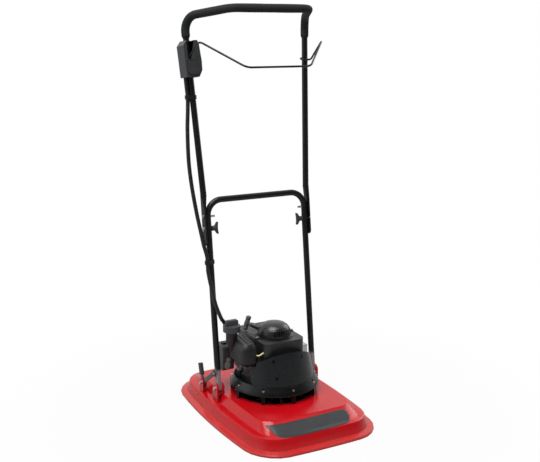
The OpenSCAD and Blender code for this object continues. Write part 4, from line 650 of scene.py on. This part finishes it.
def alongLine(points, share):  # point at a share of a line's length
    spans = [(Vector(b) - Vector(a)).length for a, b in zip(points, points[1:])]
    left = share * sum(spans)
    for (a, b), span in zip(zip(points, points[1:]), spans):
        if left <= span:
            return Vector(a).lerp(Vector(b), left / span)
        left -= span
    return Vector(points[-1])


def makeFilm(setup):
    tree = BVHTree.FromObject(nodes["deck"], bpy.context.evaluated_depsgraph_get())
    build = bmesh.new()
    grid = []
    for i in range(setup["across"] + 1):
        top = alongLine(setup["top"], i / setup["across"])
        low = alongLine(setup["low"], i / setup["across"])
        column = []
        for j in range(setup["down"] + 1):
            at = top.lerp(low, j / setup["down"])
            above = Vector((at.x * mm, at.y * mm, setup["above"] * mm))
            hit, normal, _, _ = tree.ray_cast(above, Vector((0, 0, -1)))
            column.append(build.verts.new(hit + normal * setup["lift"] * mm))
        grid.append(column)
    for a, b in zip(grid, grid[1:]):
        for j in range(setup["down"]):
            build.faces.new((a[j], a[j + 1], b[j + 1], b[j]))
    bmesh.ops.remove_doubles(build, verts=build.verts, dist=setup["joinWithin"] * mm)
    mesh = bpy.data.meshes.new("deckFilm")
    build.to_mesh(mesh)
    build.free()
    mesh.polygons.foreach_set("use_smooth", [True] * len(mesh.polygons))
    mesh.materials.append(materials["film"])
    film = bpy.data.objects.new("deckFilm", mesh)
    scene.collection.objects.link(film)
    thick = film.modifiers.new("thickness", "SOLIDIFY")
    thick.thickness = setup["thick"] * mm
    thick.offset = 1.0
    return film


film = makeFilm(filmSetup)
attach(film, "machine")
print("deck film laid")

# Pale floor, seen near white round the object and plain white further off, and soft light from three sides
# Lengths in metres; shade edges the dark under the deck, front is where the sky in shiny surfaces dims
stageSetup = {"size": 60.0, "floorColour": "#BFBFBE", "whiteNear": 0.94, "whiteFrom": 0.5, "whiteTo": 1.3,
              "shadeFrom": 0.8, "shadeTo": 0.96,
              "skyStrength": 0.36, "frontShine": 0.14, "frontFrom": -0.75, "frontTo": 0.1}
lampAim = (0, 0, 0.4)
lamps = {"keyLight": {"place": (-1.2, -0.7, 4.7), "size": 3.0, "power": 225.0},
         "leftLight": {"place": (-4.2, 1.6, 1.9), "size": 2.4, "power": 16.0},
         "rightLight": {"place": (3.8, 1.4, 2.4), "size": 2.4, "power": 42.0}}


def makeFloor(setup):
    mesh = bpy.data.meshes.new("floor")
    h = setup["size"] / 2
    mesh.from_pydata([(-h, -h, 0), (h, -h, 0), (h, h, 0), (-h, h, 0)], [], [(0, 1, 2, 3)])
    floor = bpy.data.objects.new("floor", mesh)
    scene.collection.objects.link(floor)
    material = bpy.data.materials.new("paleFloor")
    material.use_nodes = True
    tree = material.node_tree
    tree.nodes.clear()
    place = (addNode(tree, "ShaderNodeTexCoord"), "Object")
    reach = addNode(tree, "ShaderNodeVectorMath", {"operation": "LENGTH"}, {0: place})
    fade = addNode(tree, "ShaderNodeMapRange", {"interpolation_type": "SMOOTHSTEP"}, {
        "Value": (reach, "Value"), "From Min": setup["whiteFrom"], "From Max": setup["whiteTo"],
        "To Min": setup["whiteNear"], "To Max": 1.0})
    low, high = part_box("deck")  # the floor under the deck stays in its shadow, within a rounded oblong
    scaleTo = (2 / (high[0] - low[0]), 2 / (high[1] - low[1]), 0)
    shares = addNode(tree, "ShaderNodeVectorMath", {"operation": "MULTIPLY"}, {0: place, 1: scaleTo})
    squares = addNode(tree, "ShaderNodeVectorMath", {"operation": "MULTIPLY"},
                      {0: (shares, "Vector"), 1: (shares, "Vector")})
    spread = addNode(tree, "ShaderNodeVectorMath", {"operation": "DOT_PRODUCT"},
                     {0: (squares, "Vector"), 1: (squares, "Vector")})
    clear = addNode(tree, "ShaderNodeMapRange", {"interpolation_type": "SMOOTHSTEP"}, {
        "Value": (spread, "Value"), "From Min": setup["shadeFrom"], "From Max": setup["shadeTo"]})
    path = addNode(tree, "ShaderNodeLightPath")
    seen = addNode(tree, "ShaderNodeMath", {"operation": "MULTIPLY"},
                   {0: (clear, "Result"), 1: (path, "Is Camera Ray")})
    factor = addNode(tree, "ShaderNodeMath", {"operation": "MULTIPLY"},
                     {0: (fade, "Result"), 1: (seen, "Value")})
    matt = addNode(tree, "ShaderNodeBsdfDiffuse", None, {"Color": hexColour(setup["floorColour"])})
    white = addNode(tree, "ShaderNodeEmission", None, {"Color": (1, 1, 1, 1), "Strength": 1.0})
    mixed = addNode(tree, "ShaderNodeMixShader", None,
                    {0: (factor, "Value"), 1: (matt, "BSDF"), 2: (white, "Emission")})
    addNode(tree, "ShaderNodeOutputMaterial", None, {"Surface": (mixed, "Shader")})
    mesh.materials.append(material)


def makeLight(name, lamp):
    data = bpy.data.lights.new(name, "AREA")
    data.size = lamp["size"]
    data.energy = lamp["power"]
    light = bpy.data.objects.new(name, data)
    light.location = lamp["place"]
    light.rotation_euler = (Vector(lampAim) - Vector(lamp["place"])).to_track_quat("-Z", "Y").to_euler()
    scene.collection.objects.link(light)


# The camera sees plain white; shiny surfaces see white behind and above, dimmer on the studio's open side
def makeSky(setup):
    world = bpy.data.worlds.new("studioSky")
    scene.world = world
    world.use_nodes = True
    tree = world.node_tree
    tree.nodes.clear()
    path = addNode(tree, "ShaderNodeLightPath")
    shiny = addNode(tree, "ShaderNodeMath", {"operation": "MAXIMUM"},
                    {0: (path, "Is Glossy Ray"), 1: (path, "Is Transmission Ray")})
    place = addNode(tree, "ShaderNodeTexCoord")
    way = addNode(tree, "ShaderNodeSeparateXYZ", None, {"Vector": (place, "Generated")})
    studio = addNode(tree, "ShaderNodeMapRange", {"interpolation_type": "SMOOTHSTEP"}, {
        "Value": (way, "Y"), "From Min": setup["frontFrom"], "From Max": setup["frontTo"],
        "To Min": setup["frontShine"], "To Max": 1.0})
    around = addNode(tree, "ShaderNodeMapRange", None, {
        "Value": (shiny, "Value"), "To Min": setup["skyStrength"], "To Max": (studio, "Result")})
    level = addNode(tree, "ShaderNodeMapRange", None, {
        "Value": (path, "Is Camera Ray"), "To Min": (around, "Result"), "To Max": 1.0})
    sky = addNode(tree, "ShaderNodeBackground", None, {"Color": (1, 1, 1, 1), "Strength": (level, "Result")})
    addNode(tree, "ShaderNodeOutputWorld", None, {"Surface": (sky, "Background")})


makeFloor(stageSetup)
for name, lamp in lamps.items():
    makeLight(name, lamp)
makeSky(stageSetup)
print("stage set")
